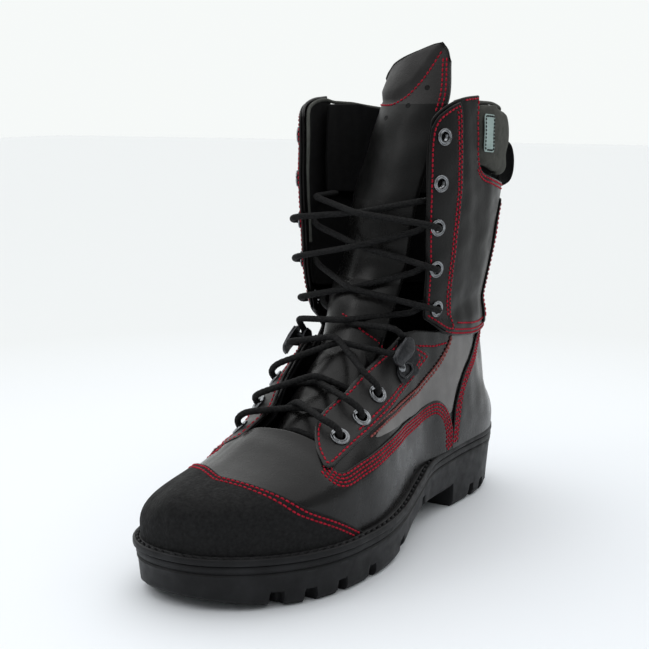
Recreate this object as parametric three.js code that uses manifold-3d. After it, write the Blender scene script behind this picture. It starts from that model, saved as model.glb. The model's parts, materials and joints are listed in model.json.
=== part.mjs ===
// Firefighter's lace-up leather boot, left foot, about EU size 43.
// Millimetres. Toe towards -Y, heel towards +Y, outer (lateral) side towards +X, +Z up, ground at z = 0.
import * as THREE from 'three';
import { mergeVertices } from 'three/addons/utils/BufferGeometryUtils.js';
import Module from 'manifold-3d';

const wasm = await Module();
wasm.setup();

// ---------------------------------------------------------------- driving dimensions
const TOE_Y = -152; // front of the last
const HEEL_Y = 147; // back of the last
const TOE_ROUND_Y = -76; // where the toe starts to round
const HEEL_ROUND_Y = 100; // where the heel starts to round
const CAP_ROUND_Y = -113; // where the top of the toe starts to drop
const SHOULDER_Z = 50; // below this height the sides of the foot are upright
const SHAFT_TOP = 269; // top edge of the shaft
const MID_X = 1; // the lacing is mirrored about this plane
const COLUMN_X = 2; // middle of the shaft, side to side
const GAP = 0.3; // clearance between touching pieces

const LEATHER = 2; // upper leather
const COVER = 1.7; // leather or rubber laid over the upper
const LINING = 2; // lining with its foam
const STIFFENER = 2; // toe cap and heel stiffener
const SKIRT_CLEARANCE = 1.6; // between the shaft's lower edge and the foot part that it slides over

const WELT_PROUD = 7; // welt beyond the last
const WELT_THICK = 4;
const SOLE_FOOT_PROUD = 3; // outsole beyond the last, at the ground
const SOLE_TOP_PROUD = 7.5; // outsole beyond the last, 50 mm up
const TREAD_DEPTH = 6;
const TREAD_GROOVE = 5;
const HEEL_BREAST_Y = 68;
const WAIST_RISE = 14; // waist of the outsole above the ground
const TOE_SPRING = 5;

const EYELET = { bore: 3, barrel: 3.6, hole: 3.9, flange: 5.7, back: 5 }; // radii
const EYELET_SIDES = 8;
const LACE_RADIUS = 2.1;
const LACE_SIDES = 6;
const HOOK_PLATE = { width: 13, length: 24, thick: 1.2 };
const HOOK_POST = 5.6; // height of the post under the lip
const HOOK_POST_UP = 6; // post's place above the middle of the plate
const HOOK_LIP = { width: 12, thick: 1.4 };

const TONGUE_RADIUS = 38;
const TONGUE_TURN = 0.33; // the tongue is turned this far towards the medial side, in radians
const TONGUE_HALF_WIDTH = 34;
const TONGUE_TIP_HALF_WIDTH = 25;
const TONGUE_THICK = 4;
const TONGUE_PAD_THICK = 7;
const TONGUE_DEPTH = 13.4; // lower tongue under the last's surface
// pull loop on the lateral side of the back: x and y of its middle against the collar, and the angle from the
// heel towards the lateral side that it faces, in degrees
const LOOP = { low: 206, high: 238, proud: 13, thick: 2, halfWidth: 7.5, x: 26.6, y: 144.6, turn: 30 };

const AROUND = 30; // columns of the upper's surface grid
// rows of that grid: the first lies on the rim of the sole, and from PLANE_LEVEL up each is the height
// at y = TILT_Y of a plane that tilts up towards the toe
const RIM_LEVEL = 25;
const PLANE_LEVEL = 50;
const LEVELS = [RIM_LEVEL, 32, 39, 45, PLANE_LEVEL, 57, 66, 78, 92, 109, 128,
  147, 170, 194, 218, 244, SHAFT_TOP];
const FOOT_TOP_LEVEL = 128;
const SHAFT_FIRST_LEVEL = 109;
const COLLAR_FIRST_LEVEL = 194;
const COLLAR_IN = 7; // inner and outer face of the collar pad, from the last
const COLLAR_OUT = 2;
const LABEL_THICK = 0.8;
const SHAFT_PROUD = 0.8; // outer face of the shaft's panels

// ---------------------------------------------------------------- shape of the last (knots: place, value)
const AXIS = [[TOE_Y, -20], [-125, -13], [-100, -7], [-60, -1], [-30, 2], [0, 4], [40, 4], [90, 2],
  [HEEL_Y, 1]];
const HALF_WIDTH = [[TOE_Y, 52], [-76, 52], [-55, 51], [-30, 46], [0, 37.5], [30, 31], [60, 31], [100, 34],
  [HEEL_Y, 34]];
const RIDGE = [[TOE_Y, 61], [-118, 65], [-100, 71.5], [-80, 82.5], [-60, 93], [-40, 106], [-20, 122],
  [0, 140], [20, 155], [40, 158], [80, 115], [110, 75], [HEEL_Y, 60]];
// the medial side of the forefoot starts to slope lower down, and more gently, than the lateral side
const MEDIAL_SHOULDER = [[TOE_Y, 40], [-100, 34], [-80, 36], [-62, 39], [-42, 50], [HEEL_Y, 50]];
const MEDIAL_CROWN = [[TOE_Y, 2], [-110, 1.8], [-75, 1.7], [-60, 1.8], [-38, 2.3], [HEEL_Y, 2.3]];
const RIM = [[TOE_Y, 31], [-110, 29.5], [-60, 30], [-30, 32], [0, 37], [30, 42], [70, 44], [HEEL_Y, 44]];
const TILT = [[33, 0], [45, 0.06], [70, 0.24], [90, 0.26], [130, 0.16], [170, 0.06], [275, 0]];
const TILT_Y = 100;
const SHAFT_BACK = [[33, 141], [50, 143], [70, 144], [90, 141], [110, 135.5], [130, 132], [150, 132],
  [180, 136], [210, 143], [235, 149], [275, 151]];
const SHAFT_FRONT = [[33, 32], [90, 20], [110, 11], [130, 6], [150, 3], [180, 1], [210, 0], [275, -2]];
const SHAFT_LATERAL = [[33, 35], [60, 37], [90, 38], [110, 39], [130, 42], [150, 46], [180, 51],
  [210, 53.5], [275, 54]];
const SHAFT_MEDIAL = [[33, 33], [60, 34], [90, 34.5], [110, 38], [130, 45], [150, 51], [180, 54], [210, 56],
  [275, 55]];
const BLEND = 22; // radius of the blend between foot and shaft
const FRONT_POWER = 3.2;
const BACK_POWER = 2.05;
const TOE_POWER = 2.25;
const HEEL_POWER = 2.1;
const CROWN_POWER = 2.3;

// ---------------------------------------------------------------- outlines of the pieces
// in plan (x, y): edge of the lacing opening from the toe end back to the ankle, lateral side
const THROAT_EDGE = [[41, -99], [41, -91], [33, -85], [23, -73], [20, -57], [24, -32], [30, -8],
  [38, 14], [40, 32]];
const TONGUE_PLAN = [[-21, -92], [23, -92], [31, -60], [34, -30], [34, 20], [-32, 20], [-32, -30],
  [-29, -60]];
// in the side view (y, z)
const THROAT_SIDE = [[-99, 56], [-60, 76], [-30, 93], [0, 112], [14, 119], [34, 126], [34, 175],
  [-99, 175]];
const WING_TOP = [[-80, 125], [-80, 72], [-60, 66], [-19, 71], [30, 73], [42, 71], [51, 64], [55, 50],
  [56, 20]];
const COUNTER_FRONT = [[56, 20], [55, 50], [59, 75], [69, 93], [88, 104], [104, 116], [108, 126]];
const QUARTER_TOP = [[107.6, 125], [30, 125], [12, 128], [-14, 126], [-60, 122], [-79.7, 122]];
const LOWER_FACING_REAR = [[-44, 82], [-1, 95], [22, 109], [24, 112], [8, 121], [-10, 125], [-60, 125]];
const LOWER_FACING = {
  lateral: [[-90, 64], [-82, 66], [-62, 75], ...LOWER_FACING_REAR, [-90.7, 110]],
  medial: [[-84, 58], [-77, 61], [-60, 71], ...LOWER_FACING_REAR, [-84.7, 110]],
};
const TOE_GUARD = [[-175, 20], [-175, 110], [-119, 90], [-127, 63], [-115, 54], [-92, 42], [-64, 24]];
const TOE_CAP = [[-175, 20], [-175, 110], [-98, 110], [-98, 20]];
const HEEL_STIFFENER = [[80, 20], [82, 88], [95, 96], [160, 96], [160, 20]];
const FOOT_LINING = [[-175, 20], [-175, 126], [-14, 124], [12, 126], [30, 123], [160, 120], [160, 20]];
const LOWER_TONGUE = [[-95, 50], [-95, 130], [-40, 130], [8, 130], [8, 112], [-10, 92], [-60, 60]];
const SHAFT_BOTTOM = [[14, 136], [20, 133], [36, 122], [64, 117], [93, 114], [120, 115], [160, 117]];
const SHAFT_CREST = [[160, 209], [130, 210], [102, 212], [80, 216], [61, 221], [58, 234], [57, 258]];
const SHAFT_HEAD = [[57, 267], [38, 266], [25, 262], [16, 256], [11, 246]];
const UPPER_FACING = [[14, 137], [20, 134], [37, 124], [46, 124], [37, 200], [37, 264.5], [26, 260.5],
  [17, 255], [12, 245]];
const SHAFT_LINING = [[14, 150], [30, 146], [60, 142], [160, 135], [160, 204], [102, 206], [80, 211],
  [60, 217], [57, 265], [38, 264], [25, 260], [16, 254], [11, 244]];
const COLLAR = [[63, 223], [80, 217.5], [102, 213.5], [130, 211.5], [165, 210.5], [165, 236], [155, 250],
  [120, 258], [85, 263], [60, 264], [60, 236]];
const BACK_STRIP = [[100, 119], [98, 133], [96, 154], [96, 174], [99, 187], [104, 201], [170, 201],
  [170, 119]];
const COLLAR_LABEL = [[60.6, 233], [73.5, 232], [73.5, 255], [60.6, 256]];
// middles of the eyelets and of the hook's plate
const LOWER_EYELETS = {
  lateral: [[-72, 81], [-52, 88], [-33, 98]],
  medial: [[-69, 75], [-51, 86], [-33, 98]],
};
const UPPER_EYELETS = [[26, 140], [21, 165], [19, 190], [19, 216], [21, 243]];
const LACED_UPPER = UPPER_EYELETS.slice(0, 3);
// outer and inner face of the leather that an eyelet goes through, from the last
const LOWER_STACK = [GAP + COVER, -LEATHER];
const UPPER_STACK = [SHAFT_PROUD + GAP + COVER, SHAFT_PROUD - LEATHER];
const HOOK = { y: -3, z: 113 };
// other curves
// height, distance from the middle
const FLAP_EDGE = [[120, 38.5], [140, 39.5], [165, 41.5], [206, 43], [290, 43]];
const TONGUE_LINE = [[150, 4.5, 11], [165, 7, 14], [185, 9, 17], [205, 11.5, 20], [235, 16, 31],
  [265, 21, 42],
  [290, 25, 52], [300, 27, 56]]; // z, x, y of the tongue's front line
const TREAD_GROOVES = [-122, -97, -72, -47, -22, 3, 28]; // y of the grooves' middles
const HEEL_GROOVES = [92, 117]; // y of the heel grooves' front edges

// ---------------------------------------------------------------- the last as a distance-like field
function spline(knots, place) {
  const last = knots.length - 1;
  const at = THREE.MathUtils.clamp(place, knots[0][0], knots[last][0]);
  let i = 0;
  while (i < last - 1 && at >= knots[i + 1][0]) i += 1;
  const span = (k) => knots[k + 1][0] - knots[k][0];
  const rise = (k) => (knots[k + 1][1] - knots[k][1]) / span(k);
  const slope = (k) => {
    if (k === 0) return rise(0);
    if (k === last) return rise(last - 1);
    return (rise(k - 1) * span(k) + rise(k) * span(k - 1)) / (span(k - 1) + span(k));
  };
  const h = span(i);
  const u = (at - knots[i][0]) / h;
  const v = 1 - u;
  return v * v * (1 + 2 * u) * knots[i][1] + u * v * v * h * slope(i)
    + u * u * (3 - 2 * u) * knots[i + 1][1] - u * u * v * h * slope(i + 1);
}

const rim = (y) => spline(RIM, y); // top of the welt

function roundOff(amount, power) {
  const t = THREE.MathUtils.clamp(amount, 0, 0.9999);
  return (1 - t ** power) ** (1 / power);
}

function halfWidth(y) {
  const toe = roundOff((TOE_ROUND_Y - y) / (TOE_ROUND_Y - TOE_Y), TOE_POWER);
  const heel = roundOff((y - HEEL_ROUND_Y) / (HEEL_Y - HEEL_ROUND_Y), HEEL_POWER);
  return spline(HALF_WIDTH, y) * toe * heel;
}

function footField(x, y, z) {
  const width = halfWidth(y);
  const middle = spline(AXIS, y);
  const shoulder = x < middle ? spline(MEDIAL_SHOULDER, y) : SHOULDER_Z;
  const power = x < middle ? spline(MEDIAL_CROWN, y) : CROWN_POWER;
  const crown = roundOff((CAP_ROUND_Y - y) / (CAP_ROUND_Y - TOE_Y), CROWN_POWER);
  const height = (spline(RIDGE, y) - shoulder) * crown;
  const across = Math.abs(x - middle) / Math.max(width, 0.5);
  const up = Math.max(z - shoulder, 0) / Math.max(height, 0.5);
  const ratio = (across ** power + up ** power) ** (1 / power);
  const beyond = Math.max(TOE_Y - y, 0) + Math.max(y - HEEL_Y, 0);
  return (ratio - 1) * Math.min(width, 40) + beyond * 3;
}

function shaftField(x, y, z) {
  const back = spline(SHAFT_BACK, z);
  const front = spline(SHAFT_FRONT, z);
  const lateral = spline(SHAFT_LATERAL, z);
  const medial = spline(SHAFT_MEDIAL, z);
  const along = (y - (front + back) / 2) / ((back - front) / 2);
  const across = x > COLUMN_X ? (x - COLUMN_X) / lateral : (COLUMN_X - x) / medial;
  const power = along < 0 ? FRONT_POWER : BACK_POWER;
  const ratio = (Math.abs(along) ** power + across ** power) ** (1 / power);
  return (ratio - 1) * Math.min(lateral, medial);
}

function lastField(x, y, z) {
  const foot = footField(x, y, z);
  const shaft = shaftField(x, y, z);
  const mix = Math.max(BLEND - Math.abs(foot - shaft), 0) / BLEND;
  return Math.min(foot, shaft) - mix * mix * BLEND / 4;
}

function lastNormal(point) {
  const e = 0.6;
  const { x, y, z } = point;
  return new THREE.Vector3(
    lastField(x + e, y, z) - lastField(x - e, y, z),
    lastField(x, y + e, z) - lastField(x, y - e, z),
    lastField(x, y, z + e) - lastField(x, y, z - e),
  ).normalize();
}

// height of a row of the surface grid
function rowHeight(level, y) {
  const plane = (at) => at - (y - TILT_Y) * spline(TILT, at);
  if (level >= PLANE_LEVEL) return plane(level);
  const share = (level - RIM_LEVEL) / (PLANE_LEVEL - RIM_LEVEL);
  return THREE.MathUtils.lerp(rim(y) + GAP, plane(PLANE_LEVEL), share);
}

// walks out horizontally from (x, y) to the last's surface; height(y) is the height on the way
function castOut(x, y, dx, dy, height) {
  let inside = 0;
  let outside = 330;
  const point = new THREE.Vector3();
  for (let step = 0; step < 34; step += 1) {
    const middle = (inside + outside) / 2;
    const at = y + dy * middle;
    point.set(x + dx * middle, at, height(at));
    if (lastField(point.x, point.y, point.z) < 0) inside = middle;
    else outside = middle;
  }
  return point;
}

// point of the last's surface at a level and an angle: 0 is the toe, a quarter turn is the lateral side
function ringPoint(level, angle) {
  const height = (y) => rowHeight(level, y);
  const front = castOut(COLUMN_X, TILT_Y, 0, -1, height).y;
  const back = castOut(COLUMN_X, TILT_Y, 0, 1, height).y;
  const way = new THREE.Vector2(Math.sin(angle) * 50, -Math.cos(angle) * (back - front) / 2).normalize();
  return castOut(COLUMN_X, (front + back) / 2, way.x, way.y, height);
}

// point of the surface beside a place (y, z) of the side view; side is 1 lateral, -1 medial
function sidePoint(y, z, side) {
  return castOut(COLUMN_X, y, side, 0, () => z);
}

const surfaceRows = new Map();
function surfaceRow(level) {
  if (!surfaceRows.has(level)) {
    const row = [];
    for (let j = 0; j < AROUND; j += 1) {
      const point = ringPoint(level, (2 * Math.PI * j) / AROUND);
      row.push({ point, normal: lastNormal(point), level });
    }
    surfaceRows.set(level, row);
  }
  return surfaceRows.get(level);
}

// ---------------------------------------------------------------- solids
function toSolid(geometry) {
  const bare = geometry.clone();
  bare.deleteAttribute('normal');
  bare.deleteAttribute('uv');
  const merged = mergeVertices(bare, 1e-4);
  return new wasm.Manifold(new wasm.Mesh({
    numProp: 3,
    vertProperties: new Float32Array(merged.attributes.position.array),
    triVerts: new Uint32Array(merged.index.array),
  }));
}

function toGeometry(solid) {
  const mesh = solid.getMesh();
  const geometry = new THREE.BufferGeometry();
  geometry.setAttribute('position', new THREE.BufferAttribute(mesh.vertProperties, 3));
  geometry.setIndex(new THREE.BufferAttribute(mesh.triVerts, 1));
  return geometry;
}

// closed solid from loops of points, one above the other; the first and last loop are filled in
function loftGeometry(loops) {
  const columns = loops[0].length;
  const top = (loops.length - 1) * columns;
  const index = [];
  for (let i = 0; i < loops.length - 1; i += 1) {
    for (let j = 0; j < columns; j += 1) {
      const next = (j + 1) % columns;
      const [a, b, c, d] = [[i, j], [i, next], [i + 1, next], [i + 1, j]].map(([r, k]) => r * columns + k);
      index.push(a, b, c, a, c, d);
    }
  }
  const contour = loops[0].map((p) => new THREE.Vector2(p.x, p.y));
  THREE.ShapeUtils.triangulateShape(contour, []).forEach(([a, b, c]) => {
    index.push(a, c, b, top + a, top + b, top + c);
  });
  const geometry = new THREE.BufferGeometry();
  const places = loops.flat().flatMap((p) => p.toArray());
  geometry.setAttribute('position', new THREE.Float32BufferAttribute(places, 3));
  geometry.setIndex(index);
  return geometry;
}

// a layer of the upper, between two distances from the last's surface; both faces are cut into
// triangles alike, so that layers keep their distance from each other
function layer(fromLevel, toLevel, inner, outer) {
  const rows = LEVELS.filter((level) => level >= fromLevel && level <= toLevel).map(surfaceRow);
  const offset = (spot, depth) => spot.point.clone().addScaledVector(spot.normal, depth(spot));
  const faces = [outer, inner].map((depth) => rows.flat().map((spot) => offset(spot, depth)));
  const index = [];
  const vertex = (face, i, j) => (face * rows.length + i) * AROUND + (j % AROUND);
  for (let j = 0; j < AROUND; j += 1) {
    for (let i = 0; i < rows.length - 1; i += 1) {
      const corners = (face) => [[i, j], [i, j + 1], [i + 1, j + 1],
        [i + 1, j]].map((c) => vertex(face, ...c));
      const [a, b, c, d] = corners(0);
      const [e, f, g, h] = corners(1);
      index.push(a, b, c, a, c, d, e, g, f, e, h, g);
    }
    const top = rows.length - 1;
    const lid = (i, j0, j1) => [vertex(0, i, j0), vertex(0, i, j1), vertex(1, i, j1), vertex(1, i, j0)];
    const [a, b, c, d] = lid(top, j, j + 1);
    const [e, f, g, h] = lid(0, j + 1, j);
    index.push(a, b, c, a, c, d, e, f, g, e, g, h);
  }
  const geometry = new THREE.BufferGeometry();
  geometry.setAttribute('position',
    new THREE.Float32BufferAttribute(faces.flat().flatMap((p) => p.toArray()), 3));
  geometry.setIndex(index);
  return toSolid(geometry);
}

function outline(points) {
  return new THREE.Shape(points.map(([a, b]) => new THREE.Vector2(a, b)));
}

function prism(points, depth, basis) {
  const geometry = new THREE.ExtrudeGeometry(outline(points), { depth, bevelEnabled: false });
  geometry.applyMatrix4(basis);
  return toSolid(geometry);
}

// outline in the side view (y, z), cut right through from x = from to x = to
function sidePrism(points, from = -90, to = 90) {
  const basis = new THREE.Matrix4().set(0, 0, 1, from, 1, 0, 0, 0, 0, 1, 0, 0, 0, 0, 0, 1);
  return prism(points, to - from, basis);
}

// outline in the plan view (x, y), from z = from to z = to
function planPrism(points, from, to) {
  return prism(points, to - from, new THREE.Matrix4().makeTranslation(0, 0, from));
}

// outline in the front view (x, z), from y = from to y = to
function frontPrism(points, from, to) {
  const basis = new THREE.Matrix4().set(1, 0, 0, 0, 0, 0, -1, to, 0, 1, 0, 0, 0, 0, 0, 1);
  return prism(points, to - from, basis);
}

// slab between two curves of the side view
function band(low, high, from, to) {
  const step = 18;
  const count = Math.ceil((to - from) / step);
  const places = Array.from({ length: count + 1 }, (_, i) => from + ((to - from) * i) / count);
  const bottom = places.map((y) => [y, low(y)]);
  const top = places.map((y) => [y, high(y)]).reverse();
  return sidePrism([...bottom, ...top]);
}

const side = (name) => (name === 'lateral' ? 1 : -1);
const mirror = (x, name) => (name === 'lateral' ? x : 2 * MID_X - x);
const halfSpace = (name) => (name === 'lateral' ? [MID_X, 90] : [-90, MID_X]);
const smooth = THREE.MathUtils.smoothstep;

const materials = {};
function material(name, color, roughness, metalness = 0) {
  materials[name] = { color, roughness, metalness };
}
material('black_leather', 0x17171a, 0.42);
material('lining', 0x26282a, 0.9);
material('toe_rubber', 0x131315, 0.85);
material('sole_rubber', 0x1b1c1f, 0.7);
material('steel', 0x8f9296, 0.35, 1);
material('eyelet_metal', 0x3a3c40, 0.35, 1);
material('board', 0x8a7a5c, 0.9);
material('foam', 0x303338, 0.95);
material('collar_textile', 0x6b7263, 0.85);
material('label', 0x9aa39a, 0.8);
material('webbing', 0x151517, 0.8);
material('lace_cord', 0x111113, 0.75);

const boot = new THREE.Group();
function addPiece(name, geometry, look) {
  const mesh = new THREE.Mesh(geometry, new THREE.MeshStandardMaterial(materials[look]));
  mesh.name = name;
  boot.add(mesh);
}

// trimming a thin layer can leave a sliver beside it, so the largest body is the piece
function addSolid(name, solid, look) {
  const bodies = solid.decompose().sort((a, b) => b.volume() - a.volume());
  addPiece(name, toGeometry(bodies[0]), look);
}

// ---------------------------------------------------------------- sole unit
function lastOutline(proud) {
  const count = 18;
  const edge = [];
  for (let i = 0; i <= count; i += 1) {
    const y = TOE_Y + (HEEL_Y - TOE_Y) * (0.5 - 0.5 * Math.cos((Math.PI * i) / count));
    edge.push([y, halfWidth(y)]);
  }
  const right = edge.map(([y, w]) => new THREE.Vector2(spline(AXIS, y) + w, y));
  const left = edge.slice(1, -1).reverse().map(([y, w]) => new THREE.Vector2(spline(AXIS, y) - w, y));
  const loop = [...right, ...left];
  return loop.map((point, i) => {
    const before = loop[(i + loop.length - 1) % loop.length];
    const after = loop[(i + 1) % loop.length];
    const along = after.clone().sub(before).normalize();
    return [point.x + along.y * proud, point.y - along.x * proud];
  });
}

const lastPrism = (proud) => planPrism(lastOutline(proud), -5, 60);

function soleBottom() {
  const points = [];
  const bottom = (y) => {
    const toe = TOE_SPRING * Math.max((-105 - y) / 55, 0) ** 2;
    return toe + WAIST_RISE * smooth(y, -40, 5);
  };
  for (let y = -165; y < HEEL_BREAST_Y - 20; y += 10) points.push([y, bottom(y)]);
  TREAD_GROOVES.forEach((y) => {
    const z = bottom(y);
    const w = TREAD_GROOVE / 2;
    points.push([y - w - 0.2, z], [y - w, z + TREAD_DEPTH], [y + w, z + TREAD_DEPTH], [y + w + 0.2, z]);
  });
  points.sort((a, b) => a[0] - b[0]);
  const heel = [[HEEL_BREAST_Y - 12, WAIST_RISE + 2], [HEEL_BREAST_Y - 3, WAIST_RISE], [HEEL_BREAST_Y, 0]];
  HEEL_GROOVES.forEach((y) => {
    heel.push([y, 0], [y + 0.2, TREAD_DEPTH], [y + TREAD_GROOVE, TREAD_DEPTH], [y + TREAD_GROOVE + 0.2, 0]);
  });
  heel.push([145, 0], [165, 5]);
  const inGroove = (y) => TREAD_GROOVES.some((g) => Math.abs(y - g) < TREAD_GROOVE / 2 + 0.1);
  return [...points.filter(([y, z]) => !(inGroove(y) && z === bottom(y))), ...heel];
}

function addOutsole() {
  const foot = lastOutline(SOLE_FOOT_PROUD);
  const shoulder = lastOutline(SOLE_TOP_PROUD);
  const rows = [[foot, 0],
    [shoulder, 50]].map(([loop, z]) => loop.map(([x, y]) => new THREE.Vector3(x, y, z)));
  const block = toSolid(loftGeometry(rows));
  const top = [];
  for (let y = 165; y >= -165; y -= 15) top.push([y, rim(y) - WELT_THICK - GAP]);
  const profile = sidePrism([...soleBottom(), ...top]);
  const groove = shankPrism(20, -22, 97).intersect(band((y) => rim(y) - 6.8, () => 60, -30, 105));
  addSolid('outsole', block.intersect(profile).subtract(groove), 'sole_rubber');
}

function shankPrism(width, from, to) {
  const places = [from, (from + to) / 2, to];
  const right = places.map((y) => [spline(AXIS, y) + width / 2, y]);
  const left = places.map((y) => [spline(AXIS, y) - width / 2, y]).reverse();
  return planPrism([...right, ...left], -5, 80);
}

function addInnerSole() {
  const slab = (proud, low, high) => lastPrism(proud).intersect(band(low, high, -170, 165));
  const welt = slab(WELT_PROUD, (y) => rim(y) - WELT_THICK, rim).subtract(lastPrism(-LEATHER));
  addSolid('welt', welt, 'sole_rubber');
  const shank = shankPrism(18, -20, 95).intersect(band((y) => rim(y) - 6.5, (y) => rim(y) - 4.5, -30, 105));
  addSolid('shank', shank, 'steel');
  addSolid('insole_board', slab(-LEATHER - GAP, (y) => rim(y) - 3.7, (y) => rim(y) - 1.4), 'board');
  addSolid('puncture_plate', slab(-LEATHER - GAP, (y) => rim(y) - 1.1, rim), 'steel');
  addSolid('footbed', slab(-10, (y) => rim(y) + GAP, (y) => rim(y) + 5), 'foam');
}

// ---------------------------------------------------------------- foot part of the upper
function throatPrism() {
  const medial = THROAT_EDGE.map(([x, y]) => [mirror(x, 'medial'), y]).reverse();
  return planPrism([...THROAT_EDGE, ...medial], 50, 175).intersect(sidePrism(THROAT_SIDE));
}

const shifted = (points, dy) => points.map(([y, z]) => [y + dy, z]);

function addFootUpper() {
  const skin = layer(RIM_LEVEL, FOOT_TOP_LEVEL, () => -LEATHER, () => 0);
  const throat = throatPrism();
  const vampZone = sidePrism([[-175, 20], [-175, 125], ...WING_TOP]);
  addSolid('vamp', skin.intersect(vampZone), 'black_leather');
  const counterZone = sidePrism([...shifted(COUNTER_FRONT, GAP), [160, 124], [160, 20]]);
  addSolid('heel_counter', skin.intersect(counterZone), 'black_leather');
  const front = WING_TOP.slice(1, -1).map(([y, z]) => [y + GAP, z + GAP]);
  const rear = COUNTER_FRONT.slice(2);
  ['lateral', 'medial'].forEach((name) => {
    const zone = sidePrism([...front.slice(0, -1), [54.7, 58], ...rear, ...QUARTER_TOP], ...halfSpace(name));
    const holes = eyeletHoles(name, LOWER_EYELETS[name], ...LOWER_STACK);
    addSolid(`${name}_quarter`, skin.intersect(zone).subtract(throat).subtract(holes), 'black_leather');
  });
}

function addLowerFacings() {
  const cover = layer(45, FOOT_TOP_LEVEL, () => GAP, () => GAP + COVER);
  const throat = throatPrism();
  ['lateral', 'medial'].forEach((name) => {
    const zone = sidePrism(LOWER_FACING[name], ...halfSpace(name));
    const holes = eyeletHoles(name, LOWER_EYELETS[name], ...LOWER_STACK);
    const flap = cover.intersect(zone).subtract(throat).subtract(holes).subtract(hookSeat(name));
    addSolid(`${name}_lower_facing`, flap, 'black_leather');
  });
}

function addToe() {
  const cover = layer(RIM_LEVEL, 78, () => GAP, () => GAP + COVER);
  addSolid('toe_guard', cover.intersect(sidePrism(TOE_GUARD)), 'toe_rubber');
  const inner = -LEATHER - GAP - STIFFENER;
  const hard = layer(RIM_LEVEL, 109, () => inner, () => -LEATHER - GAP);
  addSolid('safety_toe_cap', hard.intersect(sidePrism(TOE_CAP)), 'steel');
  addSolid('heel_stiffener', hard.intersect(sidePrism(HEEL_STIFFENER)), 'board');
}

// how far the lining stands in from the leather, to make room for toe cap and heel stiffener
function liningRoom({ point }) {
  const atToe = 1 - smooth(point.y, -62, -45);
  const atHeel = smooth(point.y, 42, 58);
  return (STIFFENER + GAP) * Math.max(atToe, atHeel);
}

function addFootLining() {
  const outer = (spot) => -LEATHER - GAP - liningRoom(spot);
  const inner = (spot) => outer(spot) - LINING;
  let lining = layer(RIM_LEVEL, FOOT_TOP_LEVEL, inner, outer).intersect(sidePrism(FOOT_LINING));
  lining = lining.subtract(throatPrism());
  ['lateral', 'medial'].forEach((name) => {
    lining = lining.subtract(eyeletHoles(name, LOWER_EYELETS[name], ...LOWER_STACK));
  });
  addSolid('foot_lining', lining, 'lining');
}

// ---------------------------------------------------------------- shaft
// the panels stand off the foot part below and draw in to the last above it, lower down at the front
function shaftOuter({ level, point }) {
  const skirt = SKIRT_CLEARANCE + LEATHER;
  const start = 108 + 16 * smooth(point.y, 30, 80);
  return skirt + (SHAFT_PROUD - skirt) * smooth(level, start, start + 16);
}

// what is cut away in front of a shaft flap
function flapOpening(name, setBack) {
  const edge = FLAP_EDGE.map(([z]) => [mirror(spline(FLAP_EDGE, z) - setBack, name), z]);
  const middle = [[MID_X, 290], [MID_X, 120]];
  return frontPrism(name === 'lateral' ? [...edge, ...middle] : [...edge, ...middle].reverse(), -60, 40);
}

function addShaft() {
  const skin = layer(SHAFT_FIRST_LEVEL, SHAFT_TOP, (s) => shaftOuter(s) - LEATHER, shaftOuter);
  const under = (spot) => shaftOuter(spot) + GAP;
  const cover = layer(SHAFT_FIRST_LEVEL, SHAFT_TOP, under, (spot) => under(spot) + COVER);
  const backSeam = [[COLUMN_X - GAP / 2, 100], [COLUMN_X + GAP / 2, 100], [COLUMN_X + GAP / 2, 290],
    [COLUMN_X - GAP / 2, 290]];
  const seam = frontPrism(backSeam, 90, 170);
  const outside = [...SHAFT_BOTTOM, ...SHAFT_CREST, ...SHAFT_HEAD];
  ['lateral', 'medial'].forEach((name) => {
    const half = name === 'lateral' ? [COLUMN_X, 90] : [-90, COLUMN_X];
    const open = flapOpening(name, 0);
    const holes = eyeletHoles(name, UPPER_EYELETS, ...UPPER_STACK);
    const panel = skin.intersect(sidePrism(outside, ...half)).subtract(seam).subtract(open).subtract(holes);
    addSolid(`${name}_shaft_panel`, panel, 'black_leather');
    const facing = cover.intersect(sidePrism(UPPER_FACING, ...half)).subtract(open).subtract(holes);
    addSolid(`${name}_upper_facing`, facing, 'black_leather');
  });
  addSolid('back_strip', cover.intersect(sidePrism(BACK_STRIP)), 'black_leather');
}

function addShaftLining() {
  const outer = (s) => shaftOuter(s) - LEATHER - 2 * GAP;
  const skin = layer(FOOT_TOP_LEVEL, SHAFT_TOP, (s) => outer(s) - LINING, outer);
  let lining = skin.intersect(sidePrism(SHAFT_LINING));
  ['lateral', 'medial'].forEach((name) => {
    lining = lining.subtract(flapOpening(name, 1)).subtract(eyeletHoles(name, UPPER_EYELETS, ...UPPER_STACK));
  });
  addSolid('shaft_lining', lining, 'lining');
}

function addCollar() {
  const puff = layer(COLLAR_FIRST_LEVEL, SHAFT_TOP, () => -COLLAR_IN, () => COLLAR_OUT);
  addSolid('collar_pad', puff.intersect(sidePrism(COLLAR)), 'collar_textile');
  const face = COLLAR_OUT + GAP;
  const patch = layer(COLLAR_FIRST_LEVEL, SHAFT_TOP, () => face, () => face + LABEL_THICK);
  addSolid('collar_label', patch.intersect(sidePrism(COLLAR_LABEL, 0, 90)), 'label');
}

function addPullLoop() {
  const { low, high, proud, thick, halfWidth, x, y, turn } = LOOP;
  const outer = [[0, low], [proud - 3, low + 3], [proud, low + 10], [proud, high - 9], [proud - 4, high - 2],
    [0, high]];
  const inner = [[thick, low + 3.4], [proud - 4, low + 5], [proud - thick, low + 11],
    [proud - thick, high - 10], [proud - 5, high - 4.4], [thick, high - 3]];
  const band = sidePrism(outer, -halfWidth, halfWidth).subtract(sidePrism(inner, -halfWidth, halfWidth));
  addSolid('pull_loop', band.rotate([0, 0, -turn]).translate([x, y, 0]), 'webbing');
}

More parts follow.
